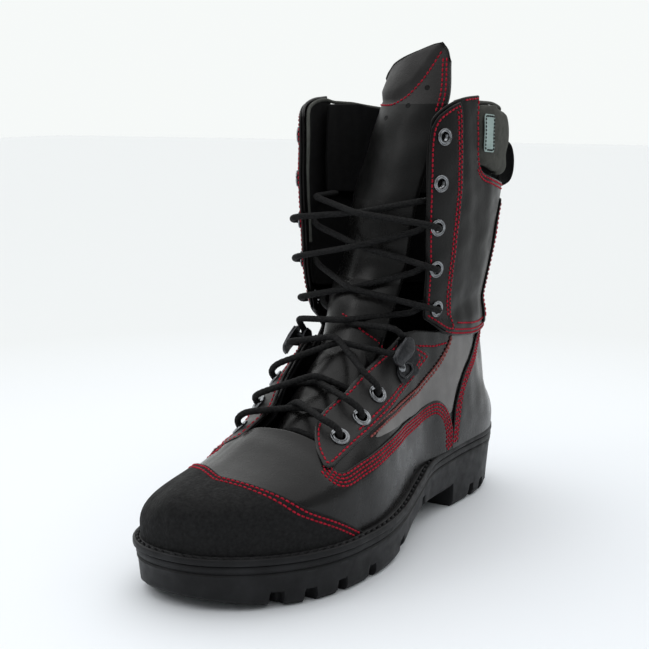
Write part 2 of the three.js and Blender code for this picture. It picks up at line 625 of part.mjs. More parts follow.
// ---------------------------------------------------------------- tongue
function addTongueLower() {
  const pad = layer(RIM_LEVEL, FOOT_TOP_LEVEL, () => -TONGUE_DEPTH - TONGUE_THICK, () => -TONGUE_DEPTH);
  const zone = planPrism(TONGUE_PLAN, 50, 175).intersect(sidePrism(LOWER_TONGUE));
  addSolid('tongue_lower', pad.intersect(zone), 'black_leather');
}

// curved plate of the tongue between two heights; width(z) is its half width along the arc
function tonguePlate(from, to, width, front, thick) {
  const rows = [];
  const steps = Math.ceil((to - from) / 16);
  const across = 8;
  const order = Array.from({ length: across + 1 }, (_, k) => k);
  const back = [...order].reverse();
  for (let i = 0; i <= steps; i += 1) {
    const z = from + ((to - from) * i) / steps;
    const x = spline(TONGUE_LINE.map(([h, a]) => [h, a]), z);
    const y = spline(TONGUE_LINE.map(([h, , b]) => [h, b]), z);
    const arc = (radius, columns) => columns.map((k) => {
      const angle = ((k / across) * 2 - 1) * (width(z) / TONGUE_RADIUS) - TONGUE_TURN;
      return new THREE.Vector3(x + radius * Math.sin(angle), y + TONGUE_RADIUS - radius * Math.cos(angle), z);
    });
    rows.push([...arc(TONGUE_RADIUS + front, order), ...arc(TONGUE_RADIUS + front - thick, back)]);
  }
  return toSolid(loftGeometry(rows));
}

function addTongueUpper() {
  const taper = TONGUE_HALF_WIDTH - TONGUE_TIP_HALF_WIDTH;
  const width = (z) => TONGUE_HALF_WIDTH - taper * smooth(z, 262, 300);
  addSolid('tongue_middle', tonguePlate(153, 214, width, 0, TONGUE_THICK), 'black_leather');
  addSolid('tongue_top', tonguePlate(217, 268, width, 0, TONGUE_THICK), 'black_leather');
  addSolid('tongue_pad', tonguePlate(268.4, 299, width, 1, TONGUE_PAD_THICK), 'black_leather');
}

// ---------------------------------------------------------------- eyelets and hooks
function atSurface(y, z, name, lift = 0) {
  const point = sidePoint(y, z, side(name));
  const normal = lastNormal(point);
  return { point: point.addScaledVector(normal, lift), normal };
}

function turnTo(normal) {
  return new THREE.Quaternion().setFromUnitVectors(new THREE.Vector3(0, 1, 0), normal);
}

function latheAt(profile, y, z, name, segments) {
  const { point, normal } = atSurface(y, z, name);
  const shape = new THREE.LatheGeometry(profile.map(([r, h]) => new THREE.Vector2(r, h)), segments);
  return toSolid(shape.applyQuaternion(turnTo(normal)).translate(...point.toArray()));
}

// hole with a seat for the flange outside and the rolled lip inside; outside and inside are the leather's
// faces, as distances from the last
function eyeletHoles(name, places, outside, inside) {
  const { hole, flange, back } = EYELET;
  const depth = 12;
  const profile = [[0, -depth], [back + GAP, -depth], [back + GAP, inside], [hole, inside], [hole, outside],
    [flange + GAP, outside], [flange + GAP, depth], [0, depth]];
  const holes = places.map(([y, z]) => latheAt(profile, y, z, name, EYELET_SIDES));
  return holes.reduce((all, one) => all.add(one));
}

function addEyelets(name, places, group, outside, inside) {
  const { bore, barrel, flange, back } = EYELET;
  const lip = inside - GAP;
  const crown = outside + GAP;
  const profile = [[bore, lip - 0.7], [back, lip - 0.7], [back, lip], [barrel, lip], [barrel, crown],
    [flange, crown], [flange - 0.4, crown + 0.9], [bore + 0.3, crown + 1.3], [bore, lip - 0.7]];
  places.forEach(([y, z], i) => {
    addSolid(`${name}_${group}_eyelet_${i + 1}`, latheAt(profile, y, z, name, EYELET_SIDES), 'eyelet_metal');
  });
}

// lace hook: plate on the flap, post and turned-over lip; a rivet holds the plate
function hookBasis(name) {
  const { point, normal } = atSurface(HOOK.y, HOOK.z, name, GAP + COVER + GAP);
  const along = new THREE.Vector3(0, 0.42, 0.9).projectOnPlane(normal).normalize();
  const across = new THREE.Vector3().crossVectors(along, normal);
  return new THREE.Matrix4().makeBasis(across, along, normal).setPosition(point);
}

// clears the flap where it would stand proud of the hook's plate
function hookSeat(name) {
  const { width, length } = HOOK_PLATE;
  const deep = 12;
  const seat = new THREE.BoxGeometry(width + 2 * GAP, length + 2 * GAP, deep).translate(0, 0, deep / 2 - GAP);
  return toSolid(seat.applyMatrix4(hookBasis(name)));
}

function addHook(name) {
  const basis = hookBasis(name);
  const block = (w, h, d, y, low) => {
    const geometry = new THREE.BoxGeometry(w, h, d).translate(0, y, low + d / 2);
    return toSolid(geometry.applyMatrix4(basis));
  };
  const { width, length, thick } = HOOK_PLATE;
  const plate = block(width, length, thick, 0, 0);
  const post = block(4, 4, HOOK_POST, HOOK_POST_UP, 1);
  const lip = block(HOOK_LIP.width, HOOK_LIP.width, HOOK_LIP.thick, HOOK_POST_UP, HOOK_POST + 0.8);
  addSolid(`${name}_lace_hook`, plate.add(post).add(lip), 'eyelet_metal');
  const dome = rivetHead().rotateX(Math.PI / 2).translate(0, -HOOK_POST_UP, thick + GAP);
  addSolid(`${name}_hook_rivet`, toSolid(dome.applyMatrix4(basis)), 'eyelet_metal');
}

function rivetHead() {
  const profile = [[0, 0], [3.4, 0], [2.7, 1], [1.4, 1.5], [0, 1.6]];
  return new THREE.LatheGeometry(profile.map(([r, h]) => new THREE.Vector2(r, h)), 10);
}

// ---------------------------------------------------------------- lace
// one cord: its middle lies under the lowest eyelets, and both ends are tucked into the shaft
const LOWER_DEPTH = -10; // cord's middle under a lower flap, from the last
const UPPER_DEPTH = -6.6; // the same inside the shaft
const stations = (name) => [
  ...LOWER_EYELETS[name].map(([y, z]) => ({ kind: 'lower', y, z })),
  { kind: 'hook', y: HOOK.y, z: HOOK.z },
  ...LACED_UPPER.map(([y, z]) => ({ kind: 'upper', y, z })),
];

function moved(point, ...steps) {
  const start = point.clone();
  return steps.reduce((sum, [direction, distance]) => sum.addScaledVector(direction, distance), start);
}

// highest point of the last's surface at (x, y)
function topPoint(x, y) {
  let inside = 55;
  let outside = 200;
  for (let step = 0; step < 30; step += 1) {
    const middle = (inside + outside) / 2;
    if (footField(x, y, middle) < 0) inside = middle;
    else outside = middle;
  }
  return new THREE.Vector3(x, y, inside);
}

// point at the front edge of a shaft flap, lifted off the last
function flapEdge(name, z, lift) {
  const point = castOut(mirror(spline(FLAP_EDGE, z), name), 60, 0, -1, () => z);
  return moved(point, [lastNormal(point), lift]);
}

function throughEyelet({ kind, y, z }, name) {
  const { point, normal } = atSurface(y, z, name);
  if (kind === 'lower') {
    const inward = new THREE.Vector3(-side(name), 0, 0).projectOnPlane(normal).normalize();
    return [
      moved(point, [inward, 9], [normal, LOWER_DEPTH]),
      moved(point, [inward, 2.5], [normal, LOWER_DEPTH + 1]),
      moved(point, [normal, -5]),
      moved(point, [normal, 4]),
      moved(point, [inward, 1.5], [normal, 6.4]),
      moved(point, [inward, 5], [normal, 7]),
      moved(point, [inward, 13], [normal, 6.8]),
    ];
  }
  const forward = new THREE.Vector3(0, -1, 0).projectOnPlane(normal).normalize();
  const corner = atSurface((y + flapEdge(name, z, 0).y) / 2, z + 1.5, name, 7.4).point;
  return [
    flapEdge(name, z - 3, UPPER_DEPTH),
    moved(point, [forward, 2.5], [normal, UPPER_DEPTH]),
    moved(point, [normal, -4.4]),
    moved(point, [normal, 4.8]),
    moved(point, [forward, 1.5], [normal, 7.4]),
    corner,
    flapEdge(name, z + 3, 7.4),
  ];
}

// round the post of a hook, between plate and lip: [towards the opening, up, off the plate]
function roundHook(name) {
  const below = HOOK_POST_UP - 5;
  const above = HOOK_POST_UP + 5;
  const depth = 3.75;
  const basis = hookBasis(name);
  return [[14, below - 3, depth + 2.2], [4, below - 0.5, depth], [-2.5, below + 0.5, depth],
    [-5.4, HOOK_POST_UP, depth], [-2.5, above - 0.5, depth], [4, above + 0.5, depth],
    [13, above + 3, depth + 1.4],
  ].map(([inward, up, out]) => new THREE.Vector3(-side(name) * inward, up, out).applyMatrix4(basis));
}

// where the two halves of the cord cross: one goes over, the other under
function crossingPoint(from, to, over) {
  const y = (from.y + to.y) / 2;
  if (from.kind !== 'upper') {
    const point = topPoint(MID_X, to.kind === 'upper' ? -8 : y);
    return moved(point, [lastNormal(point), over ? 2.6 : -2.6]);
  }
  const z = (from.z + to.z) / 2;
  const front = spline(TONGUE_LINE.map(([h, , b]) => [h, b]), z);
  return new THREE.Vector3(MID_X, front - (over ? 14 : 9), z);
}

function laceHalf(first) {
  const second = first === 'lateral' ? 'medial' : 'lateral';
  const over = first === 'lateral';
  const end = { kind: 'upper', y: 60, z: 205 };
  const points = stations(first).flatMap((_, k, { length }) => {
    const [name, other] = k % 2 === 0 ? [first, second] : [second, first];
    const station = stations(name)[k];
    const pass = station.kind === 'hook' ? roundHook(name) : throughEyelet(station, name);
    return [...pass, crossingPoint(station, k + 1 < length ? stations(other)[k + 1] : end, over)];
  });
  const tail = atSurface(end.y, end.z - 1, second, UPPER_DEPTH).point;
  return [...points, flapEdge(second, end.z, UPPER_DEPTH), tail];
}

// a route of straight stretches, sampled at its own corners
class Route extends THREE.Curve {
  constructor(points) {
    super();
    this.points = points;
  }

  getPoint(share, target = new THREE.Vector3()) {
    const place = share * (this.points.length - 1);
    const i = Math.min(Math.floor(place + 1e-9), this.points.length - 2);
    return target.lerpVectors(this.points[i], this.points[i + 1], place - i);
  }

  getPointAt(share, target) {
    return this.getPoint(share, target);
  }

  getTangentAt(share) {
    const half = 0.5 / (this.points.length - 1);
    const after = this.getPoint(Math.min(share + half, 1));
    return after.sub(this.getPoint(Math.max(share - half, 0))).normalize();
  }
}

function addLace() {
  const bar = topPoint(MID_X, LOWER_EYELETS.lateral[0][0]);
  const middle = moved(bar, [lastNormal(bar), LOWER_DEPTH]);
  const points = [...laceHalf('lateral').reverse(), middle, ...laceHalf('medial')];
  const section = new THREE.Shape();
  section.absarc(0, 0, LACE_RADIUS, 0, 2 * Math.PI);
  const corners = section.getPoints(LACE_SIDES / 2).slice(0, -1);
  const geometry = new THREE.ExtrudeGeometry(new THREE.Shape(corners), {
    steps: points.length - 1, extrudePath: new Route(points), bevelEnabled: false,
  });
  addSolid('lace', toSolid(geometry), 'lace_cord');
}

addOutsole();
addInnerSole();
addFootUpper();
addLowerFacings();
addToe();
addFootLining();
addShaft();
addShaftLining();
addCollar();
addPullLoop();
addTongueLower();
addTongueUpper();
['lateral', 'medial'].forEach((name) => {
  addEyelets(name, LOWER_EYELETS[name], 'lower', ...LOWER_STACK);
  addEyelets(name, UPPER_EYELETS, 'upper', ...UPPER_STACK);
  addHook(name);
});
addLace();

// origin: middle of the footprint, on the ground
const bounds = new THREE.Box3().setFromObject(boot);
const centre = bounds.getCenter(new THREE.Vector3());
boot.position.set(-centre.x, -centre.y, -bounds.min.z);

export default boot;
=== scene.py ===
# Looks of the firefighter's lace-up boot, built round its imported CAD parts.
# The shape is worked out in millimetres, in the frame of the CAD source.
# metres() turns it into the shared frame.
import json
import math
import bpy
import numpy as np
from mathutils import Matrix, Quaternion, Vector
from mathutils.kdtree import KDTree

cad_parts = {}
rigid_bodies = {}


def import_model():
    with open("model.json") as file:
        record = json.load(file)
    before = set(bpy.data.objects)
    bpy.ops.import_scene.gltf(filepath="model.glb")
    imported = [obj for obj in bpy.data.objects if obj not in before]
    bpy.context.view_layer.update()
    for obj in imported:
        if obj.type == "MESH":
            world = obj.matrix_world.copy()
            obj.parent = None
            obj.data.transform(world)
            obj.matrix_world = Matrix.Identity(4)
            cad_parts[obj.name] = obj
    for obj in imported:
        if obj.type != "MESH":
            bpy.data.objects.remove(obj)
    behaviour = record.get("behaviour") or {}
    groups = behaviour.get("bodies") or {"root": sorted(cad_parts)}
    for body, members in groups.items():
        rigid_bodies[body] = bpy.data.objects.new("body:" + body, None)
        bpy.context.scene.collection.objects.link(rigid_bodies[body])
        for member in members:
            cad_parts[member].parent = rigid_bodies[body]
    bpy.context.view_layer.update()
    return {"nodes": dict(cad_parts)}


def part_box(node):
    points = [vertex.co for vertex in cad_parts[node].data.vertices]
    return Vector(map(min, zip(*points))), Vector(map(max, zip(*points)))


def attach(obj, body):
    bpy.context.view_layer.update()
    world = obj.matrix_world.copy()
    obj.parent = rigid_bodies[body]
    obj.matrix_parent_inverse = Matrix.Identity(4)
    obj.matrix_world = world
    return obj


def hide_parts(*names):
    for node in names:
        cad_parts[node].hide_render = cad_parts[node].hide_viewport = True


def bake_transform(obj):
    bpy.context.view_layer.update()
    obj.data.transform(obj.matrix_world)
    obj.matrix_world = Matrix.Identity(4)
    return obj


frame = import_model()
LOOP_LOW, LOOP_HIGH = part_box("pull_loop")
LOOP = {"proud": 13, "half_width": 7.5, "x": 26.6, "y": 144.6, "turn": math.radians(30)}
LOOP_OUT = np.array([math.sin(LOOP["turn"]), math.cos(LOOP["turn"]), 0])
LOOP_SIDE = np.array([math.cos(LOOP["turn"]), -math.sin(LOOP["turn"]), 0])
# from the CAD source's frame to the shared one, by two edges of the loop that are known in both
SHIFT = np.array([LOOP_LOW.x * 1000 - LOOP["x"] + LOOP["half_width"] * LOOP_SIDE[0],
                  LOOP_HIGH.y * 1000 - LOOP["y"] + LOOP["half_width"] * LOOP_SIDE[1]
                  - LOOP["proud"] * LOOP_OUT[1], 0])


def metres(points):
    return (np.asarray(points, float) + SHIFT) / 1000


# ---------------------------------------------------------------- camera
CAMERA = {"azimuth": 32, "elevation": 10.5, "roll": -0.25, "distance": 760, "lens": 68.2,
          "target": (-19, 0, 128)}


def add_camera():
    a, e = math.radians(CAMERA["azimuth"]), math.radians(CAMERA["elevation"])
    back = Vector((math.sin(a) * math.cos(e), -math.cos(a) * math.cos(e), math.sin(e)))
    data = bpy.data.cameras.new("camera")
    data.lens = CAMERA["lens"]
    data.sensor_width = 36
    camera = bpy.data.objects.new("camera", data)
    camera.location = Vector(metres(CAMERA["target"])) + back * CAMERA["distance"] / 1000
    camera.rotation_mode = "QUATERNION"
    roll = Quaternion((0, 0, 1), math.radians(CAMERA["roll"]))
    camera.rotation_quaternion = (-back).to_track_quat("-Z", "Y") @ roll
    bpy.context.scene.collection.objects.link(camera)
    bpy.context.scene.camera = camera


add_camera()

# ---------------------------------------------------------------- shape of the last, as in the CAD source
TOE_Y, HEEL_Y, TOE_ROUND_Y, HEEL_ROUND_Y, CAP_ROUND_Y = -152, 147, -76, 100, -113
SHOULDER_Z, MID_X, COLUMN_X = 50, 1, 2
WELT_THICK, SOLE_FOOT_PROUD, SOLE_TOP_PROUD = 4, 3, 7.5
HEEL_BREAST_Y, WAIST_RISE, TOE_SPRING = 68, 14, 9
TREAD_DEPTH, TREAD_GROOVE = 6, 5
TREAD_GROOVES = [-126, -110, -91, -65, -27, 17]
HEEL_GROOVES = [91, 106, 117]
RIM_LEVEL, PLANE_LEVEL, TILT_Y, BLEND, LEAST_REACH = 25, 50, 100, 22, 24
TOE_POWER, HEEL_POWER, CROWN_POWER, FRONT_POWER, BACK_POWER = 2.25, 2.1, 2.3, 3.2, 2.05
AXIS = [[-152, -20], [-125, -13], [-100, -7], [-60, -1], [-30, 2], [0, 4], [40, 4], [90, 2], [147, 1]]
HALF_WIDTH = [[-152, 52], [-76, 52], [-55, 51], [-30, 46], [0, 37.5], [30, 31], [60, 31], [100, 34],
              [147, 34]]
RIDGE = [[-152, 61], [-118, 65], [-100, 71.5], [-80, 82.5], [-60, 93], [-40, 106], [-20, 122], [0, 140],
         [20, 155], [40, 158], [80, 115], [110, 75], [147, 60]]
MEDIAL_SHOULDER = [[-152, 40], [-100, 34], [-80, 36], [-62, 39], [-42, 50], [147, 50]]
MEDIAL_CROWN = [[-152, 2], [-110, 1.8], [-75, 1.7], [-60, 1.8], [-38, 2.3], [147, 2.3]]
RIM = [[-152, 31], [-110, 29.5], [-60, 30], [-30, 32], [0, 37], [30, 42], [70, 44], [147, 44]]
TILT = [[33, 0], [45, 0.06], [70, 0.24], [90, 0.26], [130, 0.16], [170, 0.06], [275, 0]]
SHAFT_BACK = [[33, 141], [50, 143], [70, 144], [90, 141], [110, 135.5], [130, 132], [150, 132], [180, 136],
              [210, 143], [235, 149], [275, 151]]
SHAFT_FRONT = [[33, 32], [90, 20], [110, 11], [130, 6], [150, 3], [180, 1], [210, 0], [275, -2]]
SHAFT_LATERAL = [[33, 35], [60, 37], [90, 38], [110, 39], [130, 42], [150, 46], [180, 51], [210, 53.5],
                 [275, 54]]
SHAFT_MEDIAL = [[33, 33], [60, 34], [90, 34.5], [110, 38], [130, 45], [150, 51], [180, 54], [210, 56],
                [275, 55]]
TONGUE_X = [[150, 4.5], [165, 7], [185, 9], [205, 11.5], [235, 16], [265, 21], [290, 25], [300, 27]]
TONGUE_Y = [[150, 11], [165, 14], [185, 17], [205, 20], [235, 31], [265, 42], [290, 52], [300, 56]]
TONGUE_RADIUS, TONGUE_TURN, TONGUE_DEPTH = 38, 0.33, 13.4
FLAP_EDGE = [[120, 38.5], [140, 39.5], [165, 41.5], [206, 43], [236, 43.5], [256, 45.5], [290, 46]]
LOWER_EYELETS = {"lateral": [[-69.5, 79.6], [-50.5, 87], [-32, 96.6]],
                 "medial": [[-69, 75], [-51, 86], [-33, 98]]}
UPPER_EYELETS = [[26, 140], [21, 165], [19, 190], [19, 216], [21, 243]]
HOOK = (-3, 113)
SIDES = {"lateral": 1, "medial": -1}
LACE_RADIUS = 1.9

tables = {}


def spline(knots, place):
    """Smooth curve through the knots, read from a fine table."""
    key = id(knots)
    if key not in tables:
        k = np.array(knots, float)
        xs, ys = k[:, 0], k[:, 1]
        span = np.diff(xs)
        rise = np.diff(ys) / span
        inner = (rise[:-1] * span[1:] + rise[1:] * span[:-1]) / (span[:-1] + span[1:])
        slope = np.concatenate([[rise[0]], inner, [rise[-1]]])
        at = np.linspace(xs[0], xs[-1], 1200)
        i = np.clip(np.searchsorted(xs, at, side="right") - 1, 0, len(xs) - 2)
        u = (at - xs[i]) / span[i]
        v = 1 - u
        tables[key] = (at, v * v * (1 + 2 * u) * ys[i] + u * v * v * span[i] * slope[i]
                       + u * u * (3 - 2 * u) * ys[i + 1] - u * u * v * span[i] * slope[i + 1])
    return np.interp(place, *tables[key])


def smooth(value, low, high):
    t = np.clip((np.asarray(value, float) - low) / (high - low), 0, 1)
    return t * t * (3 - 2 * t)


def round_off(amount, power):
    """From 1 down to 0 along a quarter of a rounded square."""
    t = np.clip(amount, 0, 0.9999)
    return (1 - t ** power) ** (1 / power)


def half_width(y):
    toe = round_off((TOE_ROUND_Y - y) / (TOE_ROUND_Y - TOE_Y), TOE_POWER)
    return spline(HALF_WIDTH, y) * toe * round_off((y - HEEL_ROUND_Y) / (HEEL_Y - HEEL_ROUND_Y), HEEL_POWER)


def foot_field(x, y, z):
    """Signed measure of the foot part of the last, negative inside."""
    width, middle = half_width(y), spline(AXIS, y)
    across = np.abs(x - middle) / np.maximum(width, 0.5)
    medial = smooth(middle - x, 0, 20)
    shoulder = SHOULDER_Z + (spline(MEDIAL_SHOULDER, y) - SHOULDER_Z) * medial
    power = CROWN_POWER + (spline(MEDIAL_CROWN, y) - CROWN_POWER) * medial
    height = (spline(RIDGE, y) - shoulder) * round_off((CAP_ROUND_Y - y) / (CAP_ROUND_Y - TOE_Y), CROWN_POWER)
    up = np.maximum(z - shoulder, 0) / np.maximum(height, 0.5)
    ratio = (across ** power + up ** power) ** (1 / power)
    beyond = np.maximum(TOE_Y - y, 0) + np.maximum(y - HEEL_Y, 0)
    # the heel's end has no width: a least reach above it keeps the shaft's back free of a ledge
    reach = np.clip(width, LEAST_REACH * smooth(z, 58, 84), 40)
    return (ratio - 1) * reach + beyond * 3


def shaft_field(x, y, z):
    """Signed measure of the shaft part of the last, negative inside."""
    back, front = spline(SHAFT_BACK, z), spline(SHAFT_FRONT, z)
    lateral, medial = spline(SHAFT_LATERAL, z), spline(SHAFT_MEDIAL, z)
    along = (y - (front + back) / 2) / ((back - front) / 2)
    across = np.where(x > COLUMN_X, (x - COLUMN_X) / lateral, (COLUMN_X - x) / medial)
    power = np.where(along < 0, FRONT_POWER, BACK_POWER)
    ratio = (np.abs(along) ** power + across ** power) ** (1 / power)
    return (ratio - 1) * np.minimum(lateral, medial)


def last_field(x, y, z):
    """Foot and shaft joined with a soft hollow between them."""
    foot, shaft = foot_field(x, y, z), shaft_field(x, y, z)
    mix = np.maximum(BLEND - np.abs(foot - shaft), 0) / BLEND
    return np.minimum(foot, shaft) - mix * mix * BLEND / 4


def last_normal(p):
    e = 0.6
    x, y, z = p[..., 0], p[..., 1], p[..., 2]
    g = np.stack([last_field(x + e, y, z) - last_field(x - e, y, z),
                  last_field(x, y + e, z) - last_field(x, y - e, z),
                  last_field(x, y, z + e) - last_field(x, y, z - e)], -1)
    return g / np.maximum(np.linalg.norm(g, axis=-1, keepdims=True), 1e-9)


def circle(u, v, around):
    """Points of the unit circle in the plane of u and v."""
    angle = 2 * np.pi * np.arange(around) / around
    return np.cos(angle)[:, None] * u + np.sin(angle)[:, None] * v


def ring_faces(rings, around, closed=False, flip=False):
    """Quads between rings of equal size; closed joins the last ring to the first."""
    i = np.arange(rings if closed else rings - 1)[:, None]
    j = np.arange(around)[None, :]
    following, beside = (i + 1) % rings, (j + 1) % around
    a, b = i * around + j, i * around + beside
    c, d = following * around + beside, following * around + j
    order = (a, d, c, b) if flip else (a, b, c, d)
    return np.stack(order, -1).reshape(-1, 4)


def frames_along(path, start):
    """Two directions across the path at each of its points, turning as little as they can."""
    tangent = np.gradient(path, axis=0)
    tangent /= np.linalg.norm(tangent, axis=1, keepdims=True)
    u = np.cross(tangent[0], start)
    frames = []
    for t in tangent:
        u = u - t * (u @ t)
        u /= np.linalg.norm(u)
        frames.append((u, np.cross(t, u)))
    return frames


def tree_of(points):
    tree = KDTree(len(points))
    for k, p in enumerate(np.asarray(points).tolist()):
        tree.insert(p, k)
    tree.balance()
    return tree


def row_height(level, y):
    """Height of a row of the surface: level along the rim at the bottom, tilted planes further up."""
    plane = level - (y - TILT_Y) * spline(TILT, level)
    at_plane = PLANE_LEVEL - (y - TILT_Y) * spline(TILT, PLANE_LEVEL)
    share = (level - RIM_LEVEL) / (PLANE_LEVEL - RIM_LEVEL)
    low = spline(RIM, y) + 0.3
    return np.where(level >= PLANE_LEVEL, plane, low + (at_plane - low) * share)


def cast_out(x, y, dx, dy, height):
    """Where rays from inside the last leave it; height gives z from y."""
    inside = np.zeros_like(x * 1.0)
    outside = inside + 330
    for _ in range(24):
        middle = (inside + outside) / 2
        at = y + dy * middle
        within = last_field(x + dx * middle, at, height(at)) < 0
        inside = np.where(within, middle, inside)
        outside = np.where(within, outside, middle)
    at = y + dy * inside
    return np.stack([x + dx * inside, at, height(at)], -1)


# soft unevenness of worn leather: the same everywhere for all layers, so that they keep their distance
generator = np.random.RandomState(7)
WAVES = [(generator.normal(size=3) * 0.09, generator.uniform(0, 6.28), 0.24) for _ in range(7)]
WAVES += [(generator.normal(size=3) * 0.2, generator.uniform(0, 6.28), 0.05) for _ in range(6)]


def unevenness(p):
    x, y, z = p[..., 0], p[..., 1], p[..., 2]
    wave = sum(size * np.sin(p @ k + phase) for k, phase, size in WAVES)
    soft = smooth(y, -100, -60) * smooth(z, 46, 70)
    toe_break = np.exp(-(((y + 84 + 0.12 * x) / 5.5) ** 2)) * smooth(z, 50, 66) * -0.8
    folds = smooth(z, 150, 180) * smooth(y, 48, 62) * (1 - smooth(y, 100, 125))
    crease = np.sin((y - 62 - 0.12 * (z - 200)) * 0.2) * np.exp(-(((y - 80) / 22) ** 2)) * 0.22 * folds
    return wave * soft + toe_break + crease


def side_point(y, z, side, lift=0.0):
    """Point beside a place of the side view, and the normal there."""
    y, z = np.broadcast_arrays(np.asarray(y, float), np.asarray(z, float))
    start = np.full(y.shape, float(COLUMN_X))
    p = cast_out(start, y, float(side), 0.0, lambda at: z)
    n = last_normal(p)
    return p + n * (unevenness(p)[..., None] + lift), n


# ---------------------------------------------------------------- triangle patches
class Patch:
    """Triangles with values at their corners: position, normal, level and distances."""

    def __init__(self, values, triangles):
        self.values = values
        self.triangles = triangles

    def __getitem__(self, name):
        return self.values[name]

    def drop_unused(self):
        used = np.zeros(len(self["p"]), bool)
        used[self.triangles.ravel()] = True
        number = np.cumsum(used) - 1
        return Patch({k: v[used] for k, v in self.values.items()}, number[self.triangles])

    def near(self, mask):
        """Only the triangles that touch the marked corners."""
        return Patch(self.values, self.triangles[mask[self.triangles].any(1)]).drop_unused()

    def split(self, field, level, keep_above=True):
        """Cuts the triangles along field = level. Returns the new patch and the cut's edges.
        Without keep_above the cut is a new edge of the patch, and its corners are marked so."""
        f = self[field] - level
        f = np.where(np.abs(f) < 1e-5, 1e-5, f)
        above = f > 0
        count = above[self.triangles].sum(1)
        whole = self.triangles[(count == 0) | ((count == 3) & keep_above)]
        mixed = self.triangles[(count == 1) | (count == 2)]
        if not len(mixed):
            return Patch(self.values, whole).drop_unused(), np.zeros((0, 2), int)
        side = above[mixed]
        lone = np.where(side.sum(1) == 1, side.argmax(1), (~side).argmax(1))
        rows = np.arange(len(mixed))
        a, b, c = (mixed[rows, (lone + k) % 3] for k in range(3))
        pairs = np.sort(np.concatenate([np.stack([a, b], 1), np.stack([a, c], 1)]), axis=1)
        unique, back = np.unique(pairs, axis=0, return_inverse=True)
        back = back.ravel()
        i, j = unique[:, 0], unique[:, 1]
        t = f[i] / (f[i] - f[j])
        values = {}
        for name, v in self.values.items():
            w = t[:, None] if v.ndim == 2 else t
            values[name] = np.concatenate([v, v[i] * (1 - w) + v[j] * w])
        values[field][len(f):] = level
        values["cut"][len(f):] = values["cut"][len(f):] > 0.999
        if not keep_above:
            values["cut"][len(f):] = 1
        m1 = len(f) + back[:len(mixed)]
        m2 = len(f) + back[len(mixed):]
        lone_above = above[a]
        parts = [whole]
        keep_lone = keep_above | ~lone_above
        keep_pair = keep_above | lone_above
        parts.append(np.stack([a, m1, m2], 1)[keep_lone])
        parts.append(np.stack([m1, b, c], 1)[keep_pair])
        parts.append(np.stack([m1, c, m2], 1)[keep_pair])
        out = Patch(values, np.concatenate(parts))
        edges = np.stack([m1, m2], 1)
        points = np.concatenate([values["p"][edges[:, 0]][:, None], values["p"][edges[:, 1]][:, None]], 1)
        return out.drop_unused(), points


def outline_distance(u, v, points):
    """Signed distance to a closed outline in a plane, negative inside."""
    ring = np.array(points, float)
    a, b = ring, np.roll(ring, -1, axis=0)
    best = np.full(u.shape, 1e9)
    inside = np.zeros(u.shape, bool)
    for (ax, ay), (bx, by) in zip(a, b):
        ex, ey = bx - ax, by - ay
        t = np.clip(((u - ax) * ex + (v - ay) * ey) / max(ex * ex + ey * ey, 1e-9), 0, 1)
        best = np.minimum(best, (u - ax - t * ex) ** 2 + (v - ay - t * ey) ** 2)
        crosses = (ay > v) != (by > v)
        at = ax + (v - ay) * ex / (by - ay if by != ay else 1e-9)
        inside ^= crosses & (u < at)
    return np.where(inside, -1, 1) * np.sqrt(best)


def rounded(points, share, steps=5):
    """The outline with each corner replaced by a short curve."""
    ring = np.array(points, float)
    out = []
    for i, p in enumerate(ring):
        q, r = ring[i - 1], ring[(i + 1) % len(ring)]
        a, b = p + (q - p) * share, p + (r - p) * share
        for k in range(steps):
            t = (k + 0.5) / steps
            out.append(a * (1 - t) ** 2 + p * 2 * t * (1 - t) + b * t * t)
    return np.array(out)


def base_surface():
    """The last's surface as one dense grid, which every piece of leather is cut from."""
    levels = np.concatenate([np.arange(25, 45, 1.1), np.arange(45, 80, 0.5), np.arange(80, 118, 0.62),
                             np.arange(118, 134, 1.0), np.arange(134, 272, 1.35), [272]])
    columns = 500
    angle = 2 * np.pi * np.arange(columns) / columns
    level, theta = np.meshgrid(levels, angle, indexing="ij")
    x = np.full(level.shape, float(COLUMN_X))
    y = np.full(level.shape, float(TILT_Y))

    def height(at):
        return row_height(level, at)

    front = cast_out(x, y, 0.0, -1.0, height)[..., 1]
    back = cast_out(x, y, 0.0, 1.0, height)[..., 1]
    dx, dy = np.sin(theta) * 50, -np.cos(theta) * (back - front) / 2
    length = np.hypot(dx, dy)
    p = cast_out(x, (front + back) / 2, dx / length, dy / length, height).reshape(-1, 3)
    n = last_normal(p)
    level = level.ravel()
    index = np.arange(len(level)).reshape(len(levels), columns)
    a, b = index[:-1], np.roll(index, -1, axis=1)[:-1]
    c, d = np.roll(index, -1, axis=1)[1:], index[1:]
    triangles = np.concatenate([np.stack(corners, -1).reshape(-1, 3) for corners in ((a, b, c), (a, c, d))])
    bend = unevenness(p)
    values = {"p": p + n * bend[:, None], "n": n, "level": level, "flat": p, "cut": np.zeros(len(p))}
    return Patch(values, triangles)


BASE = base_surface()


def hole_distance(flat, places, side, radius):
    """How far inside the nearest eyelet hole each point is, negative outside the holes."""
    points, normals = side_point(*np.array(places, float).T, side)
    best = np.full(len(flat), -1e9)
    for p, n in zip(points, normals):
        gap = flat - p
        along = gap @ n
        radial = np.linalg.norm(gap - along[:, None] * n, axis=1)
        best = np.maximum(best, np.where(np.abs(along) < 12, radius - radial, -1e9))
    return best


